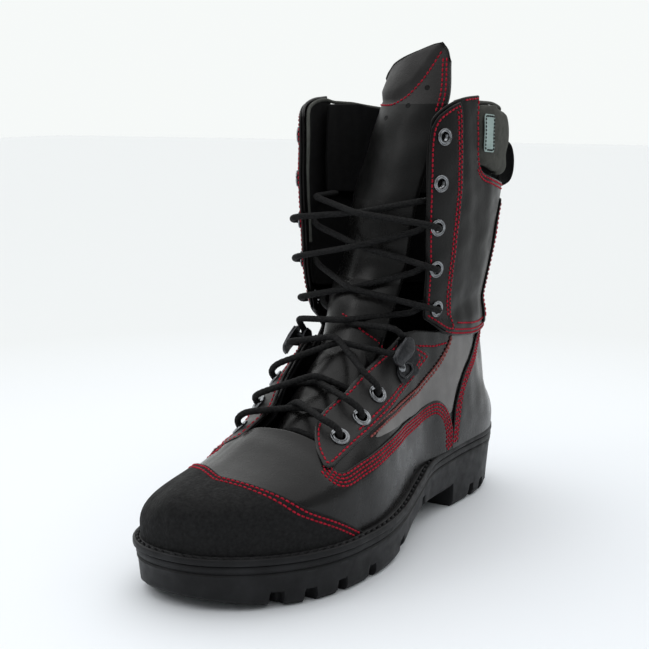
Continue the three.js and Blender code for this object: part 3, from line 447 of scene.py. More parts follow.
def chain(segments):
    """Joins loose two-point segments into polylines."""
    keys = {}
    for a, b in segments:
        ka, kb = tuple(np.round(a, 3)), tuple(np.round(b, 3))
        if ka != kb:
            keys.setdefault(ka, []).append(kb)
            keys.setdefault(kb, []).append(ka)
    left, lines = set(keys), []
    while left:
        ends = [k for k in left if len(keys[k]) == 1]
        start = min(ends) if ends else min(left)
        line, at = [start], start
        left.discard(start)
        while True:
            following = [k for k in keys[at] if k in left]
            if not following:
                break
            at = following[0]
            left.discard(at)
            line.append(at)
        if not ends and len(line) > 2 and line[0] in keys[line[-1]]:
            line.append(line[0])
        if len(line) > 2:
            lines.append(np.array(line))
    return lines


def resample(line, pitch):
    line = np.asarray(line, float)
    steps = np.linalg.norm(np.diff(line, axis=0), axis=1)
    s = np.concatenate([[0], np.cumsum(steps)])
    count = max(int(s[-1] / pitch), 1)
    at = np.linspace(0, s[-1], count + 1)
    return np.stack([np.interp(at, s, line[:, k]) for k in range(line.shape[1])], 1)


def relax(line, times):
    line = line.copy()
    for _ in range(times):
        line[1:-1] = line[1:-1] * 0.5 + (line[:-2] + line[2:]) * 0.25
    return line


# ---------------------------------------------------------------- objects
def new_object(name, vertices, faces, material):
    mesh = bpy.data.meshes.new(name)
    mesh.from_pydata(metres(vertices).tolist(), [], [tuple(map(int, f)) for f in faces])
    mesh.validate()
    mesh.polygons.foreach_set("use_smooth", np.ones(len(mesh.polygons), bool))
    mesh.materials.append(material)
    made = bpy.data.objects.new(name, mesh)
    bpy.context.scene.collection.objects.link(made)
    return made


JOIN_LOW, JOIN_HIGH = 100, 150
FOLD_LOW, FOLD_HIGH = 209, 223


def place(made, where, slot, nodes=()):
    """Hangs a piece on its body; a piece for the ankle or the tongue's fold stays where it is, on no body."""
    if where == "ankle":
        metres((0, 85, JOIN_LOW))
        metres((0, 85, JOIN_HIGH))
        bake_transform(made)
    elif where == "fold":
        metres((0, 25, FOLD_LOW))
        metres((0, 25, FOLD_HIGH))
        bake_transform(made)
    else:
        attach(made, where)
    if nodes:
        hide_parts(*nodes)
    return made


EDGE_ROUND = 0.62


def thicken(patch, base, thick, distance):
    """Two faces with a rounded edge between them."""
    t = np.clip(distance / (thick * EDGE_ROUND), 0, 1)
    bulge = np.sqrt(np.maximum(1 - (1 - t) ** 2, 0)) * 0.5
    bulge = np.where(patch["cut"] > 0.5, 0, bulge)
    outer = patch["p"] + patch["n"] * (base + thick * (0.5 + bulge))[:, None]
    inner = patch["p"] + patch["n"] * (base + thick * (0.5 - bulge))[:, None]
    open_vertex = patch["cut"] < 0.5
    number = np.arange(len(outer))
    second = np.where(open_vertex, len(outer) + np.cumsum(open_vertex) - 1, number)
    vertices = np.concatenate([outer, inner[open_vertex]])
    faces = np.concatenate([patch.triangles, second[patch.triangles][:, ::-1]])
    return vertices, faces


PITCH_STEPS = 6
threads = {}


def sew(group, line, normals, pitch, radius=0.52, lift=0.15, share=0.84, phase=0.0):
    """Stitches along a line on the surface: share is a stitch's part of its pitch."""
    both = resample(np.concatenate([line, normals], 1), pitch / PITCH_STEPS)
    half = PITCH_STEPS // 2
    count = int((len(both) - 1 - phase * PITCH_STEPS) // PITCH_STEPS)
    for k in range(count):
        at = int(round((k + 0.5 + phase) * PITCH_STEPS))
        if at + half >= len(both) or at < half:
            continue
        a, b = both[at - half, :3], both[at + half, :3]
        n = both[at, 3:] / np.linalg.norm(both[at, 3:])
        threads.setdefault(group, []).append((both[at, :3] + n * lift, (b - a) / 2 * share, n, radius))


STITCH_AROUND, SHORTEST_STITCH = 7, 0.3
# one stitch as rings: place along it in half lengths, radius and height in thread radii
STITCH_RINGS = [[-1, 0.15, -0.9], [-0.86, 0.75, -0.35], [-0.5, 1, 0.12], [0, 1.06, 0.3], [0.5, 1, 0.12],
                [0.86, 0.75, -0.35], [1, 0.15, -0.9]]


def stitch_mesh(name, group, material):
    size = STITCH_AROUND * len(STITCH_RINGS)
    quads = ring_faces(len(STITCH_RINGS), STITCH_AROUND, flip=True)
    first = np.arange(STITCH_AROUND)
    last = first[::-1] + size - STITCH_AROUND
    vertices, faces = [], []
    for centre, half, n, radius in threads.pop(group, []):
        length = np.linalg.norm(half)
        if length < SHORTEST_STITCH:
            continue
        along = half / length
        across = np.cross(along, n)
        across /= max(np.linalg.norm(across), 1e-9)
        up = np.cross(across, along)
        start = len(vertices) * size
        round_thread = radius * circle(across, up, STITCH_AROUND)
        rings = [centre + along * (u * length) + up * (h * radius) + r * round_thread
                 for u, r, h in STITCH_RINGS]
        vertices.append(np.concatenate(rings))
        faces += (quads + start).tolist()
        faces += [(first + start).tolist(), (last + start).tolist()]
    return new_object(name, np.concatenate(vertices), faces, material)


GROOVE_HALF, GROOVE_DEPTH, GROOVE_WIDTH, HOLE_RADIUS = 0.65, 0.28, 0.55, 3.4
EDGE_SHARES = (0.08, 0.25, 0.6)


def cut_out(field):
    """The part of the base surface where field is negative, with each corner's distance to the cut edge."""
    patch = Patch(dict(BASE.values, f=field), BASE.triangles).near(field < 1)
    patch, cut = patch.split("f", 0, keep_above=False)
    share = np.linspace(0, 1, 7)[None, :, None]
    tree = tree_of((cut[:, :1] * (1 - share) + cut[:, 1:] * share).reshape(-1, 3))
    distance = np.array([tree.find(p)[2] for p in patch["p"].tolist()])
    patch.values["d"] = np.where(patch["cut"] > 0.5, 0, distance)
    return patch


def sew_rows(patch, top, rows, lines):
    """Stitches along the lines at a row's distance from the edge, where the row is sewn."""
    tree = tree_of(patch["p"])
    for order, ((_, where, group, pitch), segments) in enumerate(zip(rows, lines)):
        for line in chain(segments):
            near = np.array([tree.find(q)[1] for q in line.tolist()])
            keep = where(*patch["flat"][near].T)
            path = line + patch["n"][near] * top[near][:, None]
            for run in np.split(np.arange(len(keep)), np.flatnonzero(np.diff(keep.astype(int))) + 1):
                if keep[run[0]] and len(run) > 3:
                    sew(group, relax(path[run], 3), patch["n"][near[run]], pitch, phase=0.5 * (order % 2))


def piece(field, base, thick, rows=(), holes=()):
    """A leather piece: field is its signed outline, rows are lines of stitches set in from its edge.
    Each row is (distance, where, group, pitch)."""
    patch = cut_out(field)
    levels = {round(thick * share, 3) for share in EDGE_SHARES}
    for distance, *_ in rows:
        levels |= {distance - GROOVE_HALF, distance + GROOVE_HALF}
    for level in sorted(levels):
        patch, _ = patch.split("d", level)
    lines = []
    for distance, *_ in rows:
        patch, segments = patch.split("d", distance)
        lines.append(segments)
    base_value = base(patch) if callable(base) else np.full(len(patch["p"]), float(base))
    thick_value = np.full(len(patch["p"]), float(thick))
    for distance, where, *_ in rows:
        sewn = np.where(where(*patch["flat"].T), GROOVE_DEPTH, 0)
        thick_value = thick_value - sewn * np.exp(-(((patch["d"] - distance) / GROOVE_WIDTH) ** 2))
    sew_rows(patch, base_value + thick_value, rows, lines)
    if holes:
        hole = np.max([hole_distance(patch["p"], places, side, HOLE_RADIUS) for places, side in holes], 0)
        patch = Patch(dict(patch.values, h=hole, base=base_value, thick=thick_value), patch.triangles)
        patch, _ = patch.split("h", 0, keep_above=False)
        base_value, thick_value = patch["base"], patch["thick"]
    return thicken(patch, base_value, thick_value, patch["d"])


# ---------------------------------------------------------------- materials
class Look:
    """A node material being put together."""

    def __init__(self, name):
        self.material = bpy.data.materials.new(name)
        self.material.use_nodes = True
        self.tree = self.material.node_tree
        self.surface = self.tree.nodes["Principled BSDF"]
        self.place = self.tree.nodes.new("ShaderNodeTexCoord").outputs["Object"]

    def node(self, kind, inputs, **settings):
        made = self.tree.nodes.new(kind)
        for key, value in settings.items():
            setattr(made, key, value)
        for key, value in inputs.items():
            if isinstance(value, bpy.types.NodeSocket):
                self.tree.links.new(value, made.inputs[key])
            else:
                made.inputs[key].default_value = value
        return made

    def noise(self, scale, detail, roughness=0.55):
        inputs = {"Vector": self.place, "Scale": scale, "Detail": detail, "Roughness": roughness}
        return self.node("ShaderNodeTexNoise", inputs).outputs["Fac"]

    def cells(self, scale, feature="F1"):
        made = self.node("ShaderNodeTexVoronoi", {"Vector": self.place, "Scale": scale}, feature=feature)
        return made.outputs["Distance"]

    def waves(self, scale, direction, distortion):
        inputs = {"Vector": self.place, "Scale": scale, "Distortion": distortion}
        return self.node("ShaderNodeTexWave", inputs, bands_direction=direction).outputs["Fac"]

    def ramp(self, value, low, high, to_low=0.0, to_high=1.0):
        made = self.node("ShaderNodeMapRange", {"Value": value, "From Min": low, "From Max": high,
                                                "To Min": to_low, "To Max": to_high})
        return made.outputs["Result"]

    def maths(self, operation, a, b):
        return self.node("ShaderNodeMath", {0: a, 1: b}, operation=operation).outputs[0]

    def mix(self, share, a, b):
        made = self.node("ShaderNodeMix", {0: share, 6: (*a, 1), 7: (*b, 1)}, data_type="RGBA")
        return made.outputs[2]

    def bump(self, height, strength, distance, over=None):
        inputs = {"Height": height, "Strength": strength, "Distance": distance}
        if over is not None:
            inputs["Normal"] = over
        return self.node("ShaderNodeBump", inputs).outputs["Normal"]

    def set(self, name, value):
        socket = self.surface.inputs[name]
        if isinstance(value, bpy.types.NodeSocket):
            self.tree.links.new(value, socket)
        else:
            socket.default_value = value


DULL = 0.12


def leather(name, dark, light, rough, grain, shine):
    look = Look(name)
    broad = look.noise(38, 4)
    look.set("Base Color", look.mix(look.ramp(broad, 0.35, 0.7), dark, light))
    look.set("Roughness", look.ramp(look.noise(90, 5), 0.3, 0.75, rough - 0.06, rough + 0.1))
    pores = look.bump(look.cells(1150), grain, 0.0004)
    pebble = look.bump(look.noise(620, 4, 0.6), grain * 1.1, 0.0004, pores)
    look.set("Normal", look.bump(look.noise(70, 4), 0.12, 0.002, pebble))
    look.set("Specular IOR Level", shine)
    return look.material


def rough_rubber(name):
    look = Look(name)
    lumps = look.noise(520, 6, 0.65)
    share = look.ramp(lumps, 0.3, 0.75)
    look.set("Base Color", look.mix(share, (0.006, 0.006, 0.0063), (0.019, 0.019, 0.0195)))
    look.set("Roughness", look.ramp(look.noise(300, 4), 0.3, 0.7, 0.66, 0.86))
    pebble = look.bump(look.cells(760, "SMOOTH_F1"), 0.5, 0.0006)
    look.set("Normal", look.bump(lumps, 0.65, 0.0007, pebble))
    look.set("Specular IOR Level", DULL)
    return look.material


def sole_rubber(name):
    look = Look(name)
    dust = look.ramp(look.noise(55, 5), 0.42, 0.75)
    look.set("Base Color", look.mix(dust, (0.009, 0.009, 0.0098), (0.02, 0.0205, 0.022)))
    look.set("Roughness", look.ramp(look.noise(160, 4), 0.3, 0.7, 0.42, 0.6))
    look.set("Normal", look.bump(look.noise(900, 4), 0.16, 0.0003))
    look.set("Specular IOR Level", 0.18)
    return look.material


def plated(name, color, rough):
    look = Look(name)
    wear = look.ramp(look.noise(420, 5), 0.4, 0.7)
    look.set("Base Color", look.mix(wear, color, tuple(min(c * 1.8, 1) for c in color)))
    look.set("Metallic", 1.0)
    look.set("Roughness", look.ramp(look.noise(700, 3), 0.3, 0.7, rough, rough + 0.14))
    look.set("Normal", look.bump(look.noise(1500, 3), 0.05, 0.0002))
    return look.material


def woven(name, dark, light, pitch, strength):
    look = Look(name)
    warp = look.waves(0.5 / pitch, "Z", 0.6)
    weft = look.waves(0.5 / pitch, "DIAGONAL", 0.6)
    weave = look.maths("MAXIMUM", warp, weft)
    blot = look.ramp(look.noise(180, 4), 0.35, 0.7, -0.25, 0.25)
    look.set("Base Color", look.mix(look.maths("ADD", weave, blot), dark, light))
    look.set("Roughness", 0.9)
    look.set("Specular IOR Level", DULL)
    look.set("Normal", look.bump(weave, strength, 0.0005, look.bump(look.noise(2200, 2), 0.2, 0.0002)))
    return look.material


def spun(name, dark, light, rough=0.55):
    look = Look(name)
    look.set("Base Color", look.mix(look.ramp(look.noise(900, 3), 0.35, 0.65), dark, light))
    look.set("Roughness", rough)
    look.set("Specular IOR Level", DULL)
    look.set("Normal", look.bump(look.noise(3800, 2), 0.35, 0.0002))
    return look.material


LEATHER = leather("leather", (0.0055, 0.0053, 0.0053), (0.0115, 0.011, 0.011), 0.27, 0.10, 0.25)
# the shaft's leather is the black leather with a darker base colour: painted shade for the shaft and back
# strip, whose sides face the bright surround
SHADED_SHAFT_LEATHER = leather("shaft_leather", (0.0035, 0.0032, 0.0032), (0.007, 0.0066, 0.0066), 0.36, 0.10, 0.13)
FLAP_LEATHER = leather("flap_leather", (0.013, 0.0125, 0.0125), (0.026, 0.025, 0.025), 0.4, 0.16, 0.26)
UPPER_FLAP_LEATHER = leather("upper_flap_leather", (0.004, 0.0038, 0.0038), (0.0085, 0.008, 0.008),
                             0.42, 0.16, 0.18)
TONGUE_LEATHER = leather("tongue_leather", (0.004, 0.004, 0.004), (0.0085, 0.0085, 0.0085), 0.36, 0.10, 0.2)
CAP_LEATHER = leather("cap_leather", (0.016, 0.015, 0.015), (0.034, 0.032, 0.032), 0.45, 0.24, 0.26)
GREY_LEATHER = leather("grey_leather", (0.15, 0.145, 0.143), (0.21, 0.203, 0.2), 0.55, 0.2, 0.25)
GUARD = rough_rubber("guard")
SOLE = sole_rubber("sole")
PLATE = plated("plate", (0.17, 0.176, 0.185), 0.17)
CAST = plated("cast", (0.04, 0.041, 0.044), 0.3)
STEEL = plated("steel", (0.4, 0.41, 0.43), 0.3)
# the lining's own dark colour, made darker still: painted shade for the inside of the boot, where the lining
# is seen
LINING = woven("lining", (0.0018, 0.0018, 0.002), (0.006, 0.006, 0.0065), 0.0012, 0.4)
COLLAR = woven("collar", (0.028, 0.029, 0.026), (0.082, 0.083, 0.074), 0.0011, 0.5)
BINDING = woven("binding", (0.04, 0.042, 0.037), (0.1, 0.103, 0.094), 0.0011, 0.5)
PATCH_CLOTH = woven("patch_cloth", (0.24, 0.32, 0.31), (0.4, 0.5, 0.48), 0.0007, 0.3)
WEBBING = woven("webbing", (0.003, 0.003, 0.0035), (0.011, 0.011, 0.012), 0.0012, 0.7)
FOAM = woven("foam", (0.02, 0.021, 0.023), (0.06, 0.062, 0.067), 0.0016, 0.3)
BOARD = spun("board", (0.2, 0.16, 0.1), (0.32, 0.26, 0.17), 0.9)
RED = spun("red_thread", (0.26, 0.005, 0.018), (0.46, 0.012, 0.035))
PALE = spun("pale_thread", (0.2, 0.05, 0.05), (0.34, 0.1, 0.09))
# dark thread, also used for the tongue's punched holes as painted shade
DARK_THREAD_AND_HOLE_SHADE = spun("dark_thread", (0.004, 0.004, 0.004), (0.011, 0.011, 0.011))
# the cord's own dark colour, lightened to grey: painted sheen of the braid
CORD = spun("cord", (0.005, 0.005, 0.0053), (0.017, 0.017, 0.0175), 0.75)

# ---------------------------------------------------------------- outlines: side view (y, z), plan (x, y)
THROAT_EDGE = [[41, -99], [41, -91], [33, -85], [23, -73], [20, -57], [24, -32], [30, -8], [38, 14], [40, 32]]
THROAT_PLAN = THROAT_EDGE + [[2 * MID_X - x, y] for x, y in reversed(THROAT_EDGE)]
FLAP_INNER = [[41, -99], [41, -92], [35, -89.5], [27, -84], [20, -74], [18, -63], [20, -54], [23.5, -43],
              [25, -32], [30, -8], [38, 14], [40, 32]]
FLAP_PLAN = FLAP_INNER + [[2 * MID_X - x, y] for x, y in reversed(FLAP_INNER)]
THROAT_SIDE = [[-99, 56], [-60, 76], [-30, 93], [0, 112], [14, 119], [34, 126], [34, 175], [-99, 175]]
WING_TOP = [[-86, 66], [-83, 64.5], [-73, 67], [-50, 71], [-24, 75], [10, 77], [27, 80], [38, 80], [49, 72],
            [55, 61], [56.5, 50], [56, 20]]
COUNTER_FRONT = [[56, 20], [55, 50], [59, 75], [69, 93], [88, 104], [104, 116], [108, 126]]
QUARTER_FRONT = [[-102, 20], [-102, 122]]
QUARTER_REAR = [[100, 112], [84, 96], [72, 84], [64, 60], [64, 20]]
QUARTER_TOP = [[112, 126], [107, 125], [30, 125], [12, 128], [-14, 126], [-60, 122], [-92, 122]]
FACING_REAR = [[-44, 82], [-1, 95], [22, 109], [24, 112], [8, 121], [-10, 125], [-60, 125]]
LOWER_FACING = {"lateral": [[-91, 66], [-82, 69.5], [-62, 76.5], *FACING_REAR, [-91.7, 110]],
                "medial": [[-84, 58], [-77, 61], [-60, 71], *FACING_REAR, [-84.7, 110]]}
TOE_GUARD = [[-121, 90], [-127, 66], [-115, 54], [-92, 42], [-64, 24]]
BACK_STRIP = [[100, 119], [98, 133], [96, 154], [96, 174], [99, 187], [104, 201], [170, 201], [170, 119]]
WEDGE = [[-51, 76], [-10, 77], [29, 77], [55, 66], [60, 84], [70, 95.5], [90, 112], [50, 121], [43, 110],
         [25, 97], [3, 88], [-34, 83]]
PALE_ROW = [[-52, 78], [-31, 83], [-5, 86.5], [13, 90], [28, 97.5], [39, 105.5], [46, 113], [49, 119]]
SHAFT_BOTTOM = [[14, 136], [20, 133], [36, 122], [64, 117], [93, 114], [120, 115], [160, 117]]
SHAFT_CREST = [[160, 209], [130, 210], [102, 212], [80, 216], [61, 221], [58, 234], [57, 258]]
SHAFT_HEAD = [[57, 267], [38, 266], [25, 262], [16, 256], [11, 246]]
UPPER_FACING = [[14, 137], [20, 134], [37, 124], [46, 124], [37, 150], [37, 200], [37, 264.5], [26, 260.5],
                [17, 255], [12, 245]]
SHAFT_LINING = [[14, 150], [30, 146], [60, 142], [160, 135], [160, 204], [102, 206], [80, 211], [60, 217],
                [57, 265], [38, 264], [25, 260], [16, 254], [11, 244]]
FOOT_LINING = [[-175, 20], [-175, 126], [-14, 124], [12, 126], [30, 123], [160, 120], [160, 20]]
COLLAR_EDGE = [[60, 223], [80, 217.5], [102, 213.5], [130, 211.5], [165, 210.5], [165, 236], [155, 250],
               [120, 258], [85, 263], [56, 264], [56, 236]]
COLLAR_LABEL = [[60.6, 233], [73.5, 232], [73.5, 255], [60.6, 256]]
COLLAR_INSIDE = [[44, 206], [165, 196], [165, 246], [155, 250], [120, 257], [85, 262], [44, 262]]
BINDING_HEAD = [[16, 176], [15, 200], [14, 230], [13, 245], [17, 254.5], [26, 260.5], [38, 264], [50, 265],
                [60, 263]]


def bowed(points, steps=5):
    """An open line with its inner corners rounded; both ends stay."""
    p = np.array(points, float)
    out = [p[0]]
    for i in range(1, len(p) - 1):
        a = (p[i - 1] + p[i]) / 2 if i > 1 else p[i] * 0.6 + p[i - 1] * 0.4
        b = (p[i] + p[i + 1]) / 2 if i < len(p) - 2 else p[i] * 0.6 + p[i + 1] * 0.4
        for k in range(steps):
            t = (k + 0.5) / steps
            out.append(a * (1 - t) ** 2 + p[i] * 2 * t * (1 - t) + b * t * t)
    return [*map(tuple, out), tuple(p[-1])]


X, Y, Z = BASE["flat"].T
THROAT = np.maximum(outline_distance(X, Y, rounded(THROAT_PLAN, 0.45)), outline_distance(Y, Z, THROAT_SIDE))
FLAP_THROAT = np.maximum(outline_distance(X, Y, rounded(FLAP_PLAN, 0.45)),
                         outline_distance(Y, Z, THROAT_SIDE))
VAMP_EDGE = [(-175, 20), (-175, 125), *bowed([[-84, 125], [-85.5, 74], *WING_TOP], 4)]
VAMP = outline_distance(Y, Z, VAMP_EDGE)
COUNTER = outline_distance(Y, Z, [*bowed(COUNTER_FRONT), (160, 124), (160, 20)])


def half(side):
    return (MID_X - X) * side


def column_half(side):
    return (COLUMN_X + 0.08 * side - X) * side


def shaft_outer(level, y):
    """Outer face of the shaft's leather: full over the foot's pieces, thinner above them."""
    start = 108 + 16 * smooth(y, 30, 80)
    return 3.6 - 2.8 * smooth((level - start) / 16, 0, 1)


def on_shaft(layer):
    """A shaft layer's inner face and thickness, above the leather's build-up there."""
    extra, thick = layer

    def base(patch):
        return shaft_outer(patch["level"], patch["flat"][:, 1]) + extra

    return base, thick


def add(name, where, slot, nodes, material, field, base, thick, **more):
    vertices, faces = piece(field, base, thick, **more)
    made = new_object(name, vertices, faces, material)
    return place(made, where, slot, nodes)


def anywhere(x, y, z):
    return y > -1000


# ---------------------------------------------------------------- foot part
# each layer's inner face above the base surface, and its thickness
QUARTER_LAYER, VAMP_LAYER, COUNTER_LAYER, GUARD_LAYER = (-2, 2), (-0.15, 1.5), (0.05, 1.5), (1.4, 1.5)
PANEL_LAYER, SHAFT_FLAP_LAYER = (-2, 2), (0.05, 1.6)
STRIP_LAYER, SHAFT_LINING_LAYER = (0.05, 1.4), (-4.4, 2.1)
WEDGE_LAYER, LABEL_LAYER, COLLAR_LINING_LAYER = (0.02, 0.4), (2.75, 0.8), (-8.6, 1.6)
LOWER_FLAP_THICK, FOOT_LINING_THICK = 1.7, 1.95
# rows of stitches, by their distance from the piece's edge, and the pitches of the stitches
WING_ROWS, COUNTER_ROWS, TOE_ROWS, STRIP_ROWS = (1.6, 3.6, 5.6, 7.6), (1.7, 3.8, 5.9), (1.8, 4.4), (1.9, 4.3)
FINE_PITCH, FLAP_PITCH, SHAFT_PITCH, TOP_PITCH = 2.9, 3.5, 3.1, 3.3


BRIDGE_Y, BRIDGE_HALF = -80, 39


def add_foot_upper():
    """Quarters, vamp with its wings and a bridge under the throat, and heel counter."""
    skin = outline_distance(Y, Z, [*QUARTER_FRONT, *QUARTER_TOP[::-1], *QUARTER_REAR])
    for name, side in SIDES.items():
        field = np.maximum.reduce([skin, half(side), -THROAT])
        top_row = (9.5, lambda x, y, z: (z > 112) & (y > 2) & (y < 44), "red_foot", TOP_PITCH)
        add(f"{name}_quarter_skin", "ankle", "black_leather", [f"{name}_quarter"], LEATHER, field,
            *QUARTER_LAYER, rows=[top_row], holes=[(LOWER_EYELETS[name], side)])

    def wing(x, y, z):
        return (y > -103) & (np.abs(x - MID_X) > 34) & (z > 34) & ((z < 70) | (y > -60))

    rows = [(d, wing, "red_foot", FINE_PITCH) for d in WING_ROWS]
    bridge = np.maximum(Y - BRIDGE_Y, np.abs(X - MID_X) - BRIDGE_HALF)
    field = np.minimum(np.maximum(VAMP, -THROAT - 3), bridge)
    add("vamp_skin", "foot", "black_leather", ["vamp"], LEATHER, field, *VAMP_LAYER, rows=rows)

    def counter_front(x, y, z):
        return (y < 118) & (z > 47)

    rows = [(d, counter_front, "red_foot", FINE_PITCH) for d in COUNTER_ROWS]
    add("heel_counter_skin", "ankle", "black_leather", ["heel_counter"], LEATHER, COUNTER,
        *COUNTER_LAYER, rows=rows)


def over_vamp(patch):
    """The lower flap's inner face: on the quarter, and a step higher where it lies on the vamp."""
    return 0.1 + 1.35 * smooth(-patch["v"], -4, 2)


def add_lower_facings():
    BASE.values["v"] = VAMP
    for name, side in SIDES.items():
        outline = outline_distance(Y, Z, rounded(LOWER_FACING[name], 0.35))
        field = np.maximum.reduce([outline, half(side), -FLAP_THROAT])

        def rear(x, y, z):
            return (y > -84) & (z < 62 + 0.62 * (y + 90)) & (y < 25)

        rows = [(2.3, anywhere, "red_foot", FLAP_PITCH), (5.0, rear, "red_foot", FLAP_PITCH)]
        add(f"{name}_lower_flap", "ankle", "black_leather", [f"{name}_lower_facing"], FLAP_LEATHER, field,
            over_vamp, LOWER_FLAP_THICK, rows=rows, holes=[(LOWER_EYELETS[name], side)])
    del BASE.values["v"]


def add_toe_guard():
    edge = [(-175, 20), (-175, 110), *bowed(TOE_GUARD)]
    back_inside = 0.6 * np.maximum(-8 - X, 0) * smooth(Z, 44, 60)
    rows = [(d, anywhere, "red_toe", 3.0) for d in TOE_ROWS]
    field = outline_distance(Y - back_inside, Z, edge)
    add("toe_guard_skin", "foot", "toe_rubber", ["toe_guard"], GUARD, field, *GUARD_LAYER, rows=rows)


def add_foot_lining():
    outline = outline_distance(Y, Z, FOOT_LINING)

    def base(patch):
        y = patch["flat"][:, 1]
        return -4.3 - 2.3 * np.maximum(1 - smooth(y, -62, -45), smooth(y, 42, 58))

    field = np.maximum(outline, -THROAT + 0.6)
    add("foot_lining_skin", "ankle", "lining_textile", ["foot_lining"], LINING, field, base,
        FOOT_LINING_THICK, holes=[(LOWER_EYELETS[name], side) for name, side in SIDES.items()])


# ---------------------------------------------------------------- shaft
def flap_gap(side):
    """Signed distance to the opening in front of a shaft flap, negative in the opening."""
    reach = spline(FLAP_EDGE, Z)
    return np.maximum((X - MID_X) * side - reach, Y - 40)


def add_shaft():
    """Shaft panels with their lacing flaps, back strip and lining."""
    outline = [*bowed(SHAFT_BOTTOM), *SHAFT_CREST[:3], *bowed(SHAFT_CREST[2:]), *bowed(SHAFT_HEAD)]
    shape = outline_distance(Y, Z, outline)
    facing = outline_distance(Y, Z, rounded(UPPER_FACING, 0.35))
    for name, side in SIDES.items():
        gap = flap_gap(side)

        def crest(x, y, z):
            return ((y > 55) & (y < 132) & (z > 204)) | ((z > 255) & (y > 38))

        def bottom(x, y, z):
            return (z < 128) & (y > 36) & (y < 122)

        def first(x, y, z):
            return crest(x, y, z) | bottom(x, y, z)

        def second(x, y, z):
            return (crest(x, y, z) & (y > 56)) | bottom(x, y, z)

        rows = [(distance, where, "red_shaft", SHAFT_PITCH)
                for distance, where in ((1.8, first), (4.2, second), (8.4, bottom))]
        field = np.maximum.reduce([shape, column_half(side), -gap])
        add(f"{name}_shaft_skin", "ankle", "black_leather", [f"{name}_shaft_panel"], SHADED_SHAFT_LEATHER, field,
            *on_shaft(PANEL_LAYER), rows=rows, holes=[(UPPER_EYELETS, side)])
        rows = [(2.1, anywhere, "red_shaft", 3.0),
                (4.5, lambda x, y, z: (y > 30) & (z > 132) & (z < 262), "red_shaft", 3.0)]
        field = np.maximum.reduce([facing, column_half(side), -gap])
        add(f"{name}_upper_flap", "ankle", "black_leather", [f"{name}_upper_facing"], UPPER_FLAP_LEATHER,
            field, *on_shaft(SHAFT_FLAP_LAYER), rows=rows, holes=[(UPPER_EYELETS, side)])
    strip = outline_distance(Y, Z, BACK_STRIP)
    rows = [(d, lambda x, y, z: (z > 121) & (z < 199), "red_shaft", SHAFT_PITCH) for d in STRIP_ROWS]
    add("back_strip_skin", "ankle", "black_leather", ["back_strip"], SHADED_SHAFT_LEATHER, strip,
        *on_shaft(STRIP_LAYER), rows=rows)
    outline = outline_distance(Y, Z, SHAFT_LINING)
    fields = [np.maximum(outline, -(flap_gap(side) - 1)) for side in SIDES.values()]
    field = np.where(X > MID_X, fields[0], fields[1])
    add("shaft_lining_skin", "ankle", "lining_textile", ["shaft_lining"], LINING, field,
        *on_shaft(SHAFT_LINING_LAYER), holes=[(UPPER_EYELETS, 1), (UPPER_EYELETS, -1)])


PUFF_VOXEL, PUFF_CAP, PUFF_PRESSURE, PUFF_STIFFNESS, PUFF_FRAMES = 0.0045, 0.0009, 4, 12, 20


def puff(made):
    """Cloth simulation under pressure: the pad swells, but no point goes further than the cap."""
    scene = bpy.context.scene
    view = bpy.context.view_layer
    for o in view.objects:
        o.select_set(False)
    view.objects.active = made
    made.select_set(True)
    remesh = made.modifiers.new("remesh", "REMESH")
    remesh.mode = "VOXEL"
    remesh.voxel_size = PUFF_VOXEL
    bpy.ops.object.modifier_apply(modifier="remesh")
    start = np.array([v.co for v in made.data.vertices], float)
    cloth = made.modifiers.new("cloth", "CLOTH")
    cloth.settings.use_pressure = True
    cloth.settings.uniform_pressure_force = PUFF_PRESSURE
    cloth.settings.effector_weights.gravity = 0
    cloth.settings.tension_stiffness = PUFF_STIFFNESS
    cloth.settings.compression_stiffness = PUFF_STIFFNESS
    cloth.point_cache.frame_end = PUFF_FRAMES
    for number in range(1, PUFF_FRAMES + 1):
        scene.frame_set(number)
    evaluated = made.evaluated_get(bpy.context.evaluated_depsgraph_get())
    swollen = np.array([v.co for v in evaluated.data.vertices], float)
    made.modifiers.remove(cloth)
    scene.frame_set(1)
    shift = swollen - start
    length = np.linalg.norm(shift, axis=1, keepdims=True)
    shift *= np.minimum(1, PUFF_CAP / np.maximum(length, 1e-9))
    made.data.vertices.foreach_set("co", (start + shift).astype(np.float32).ravel())
    made.data.update()
    subdivide = made.modifiers.new("subdivide", "SUBSURF")
    subdivide.levels = 1
    bpy.ops.object.modifier_apply(modifier="subdivide")
    made.data.polygons.foreach_set("use_smooth", np.ones(len(made.data.polygons), bool))


COLLAR_BASE, COLLAR_THICK, COLLAR_CROWN, COLLAR_FOLD_Z, COLLAR_FOLD_DEPTH = -6.8, 8.4, 13, 229.5, 2.6


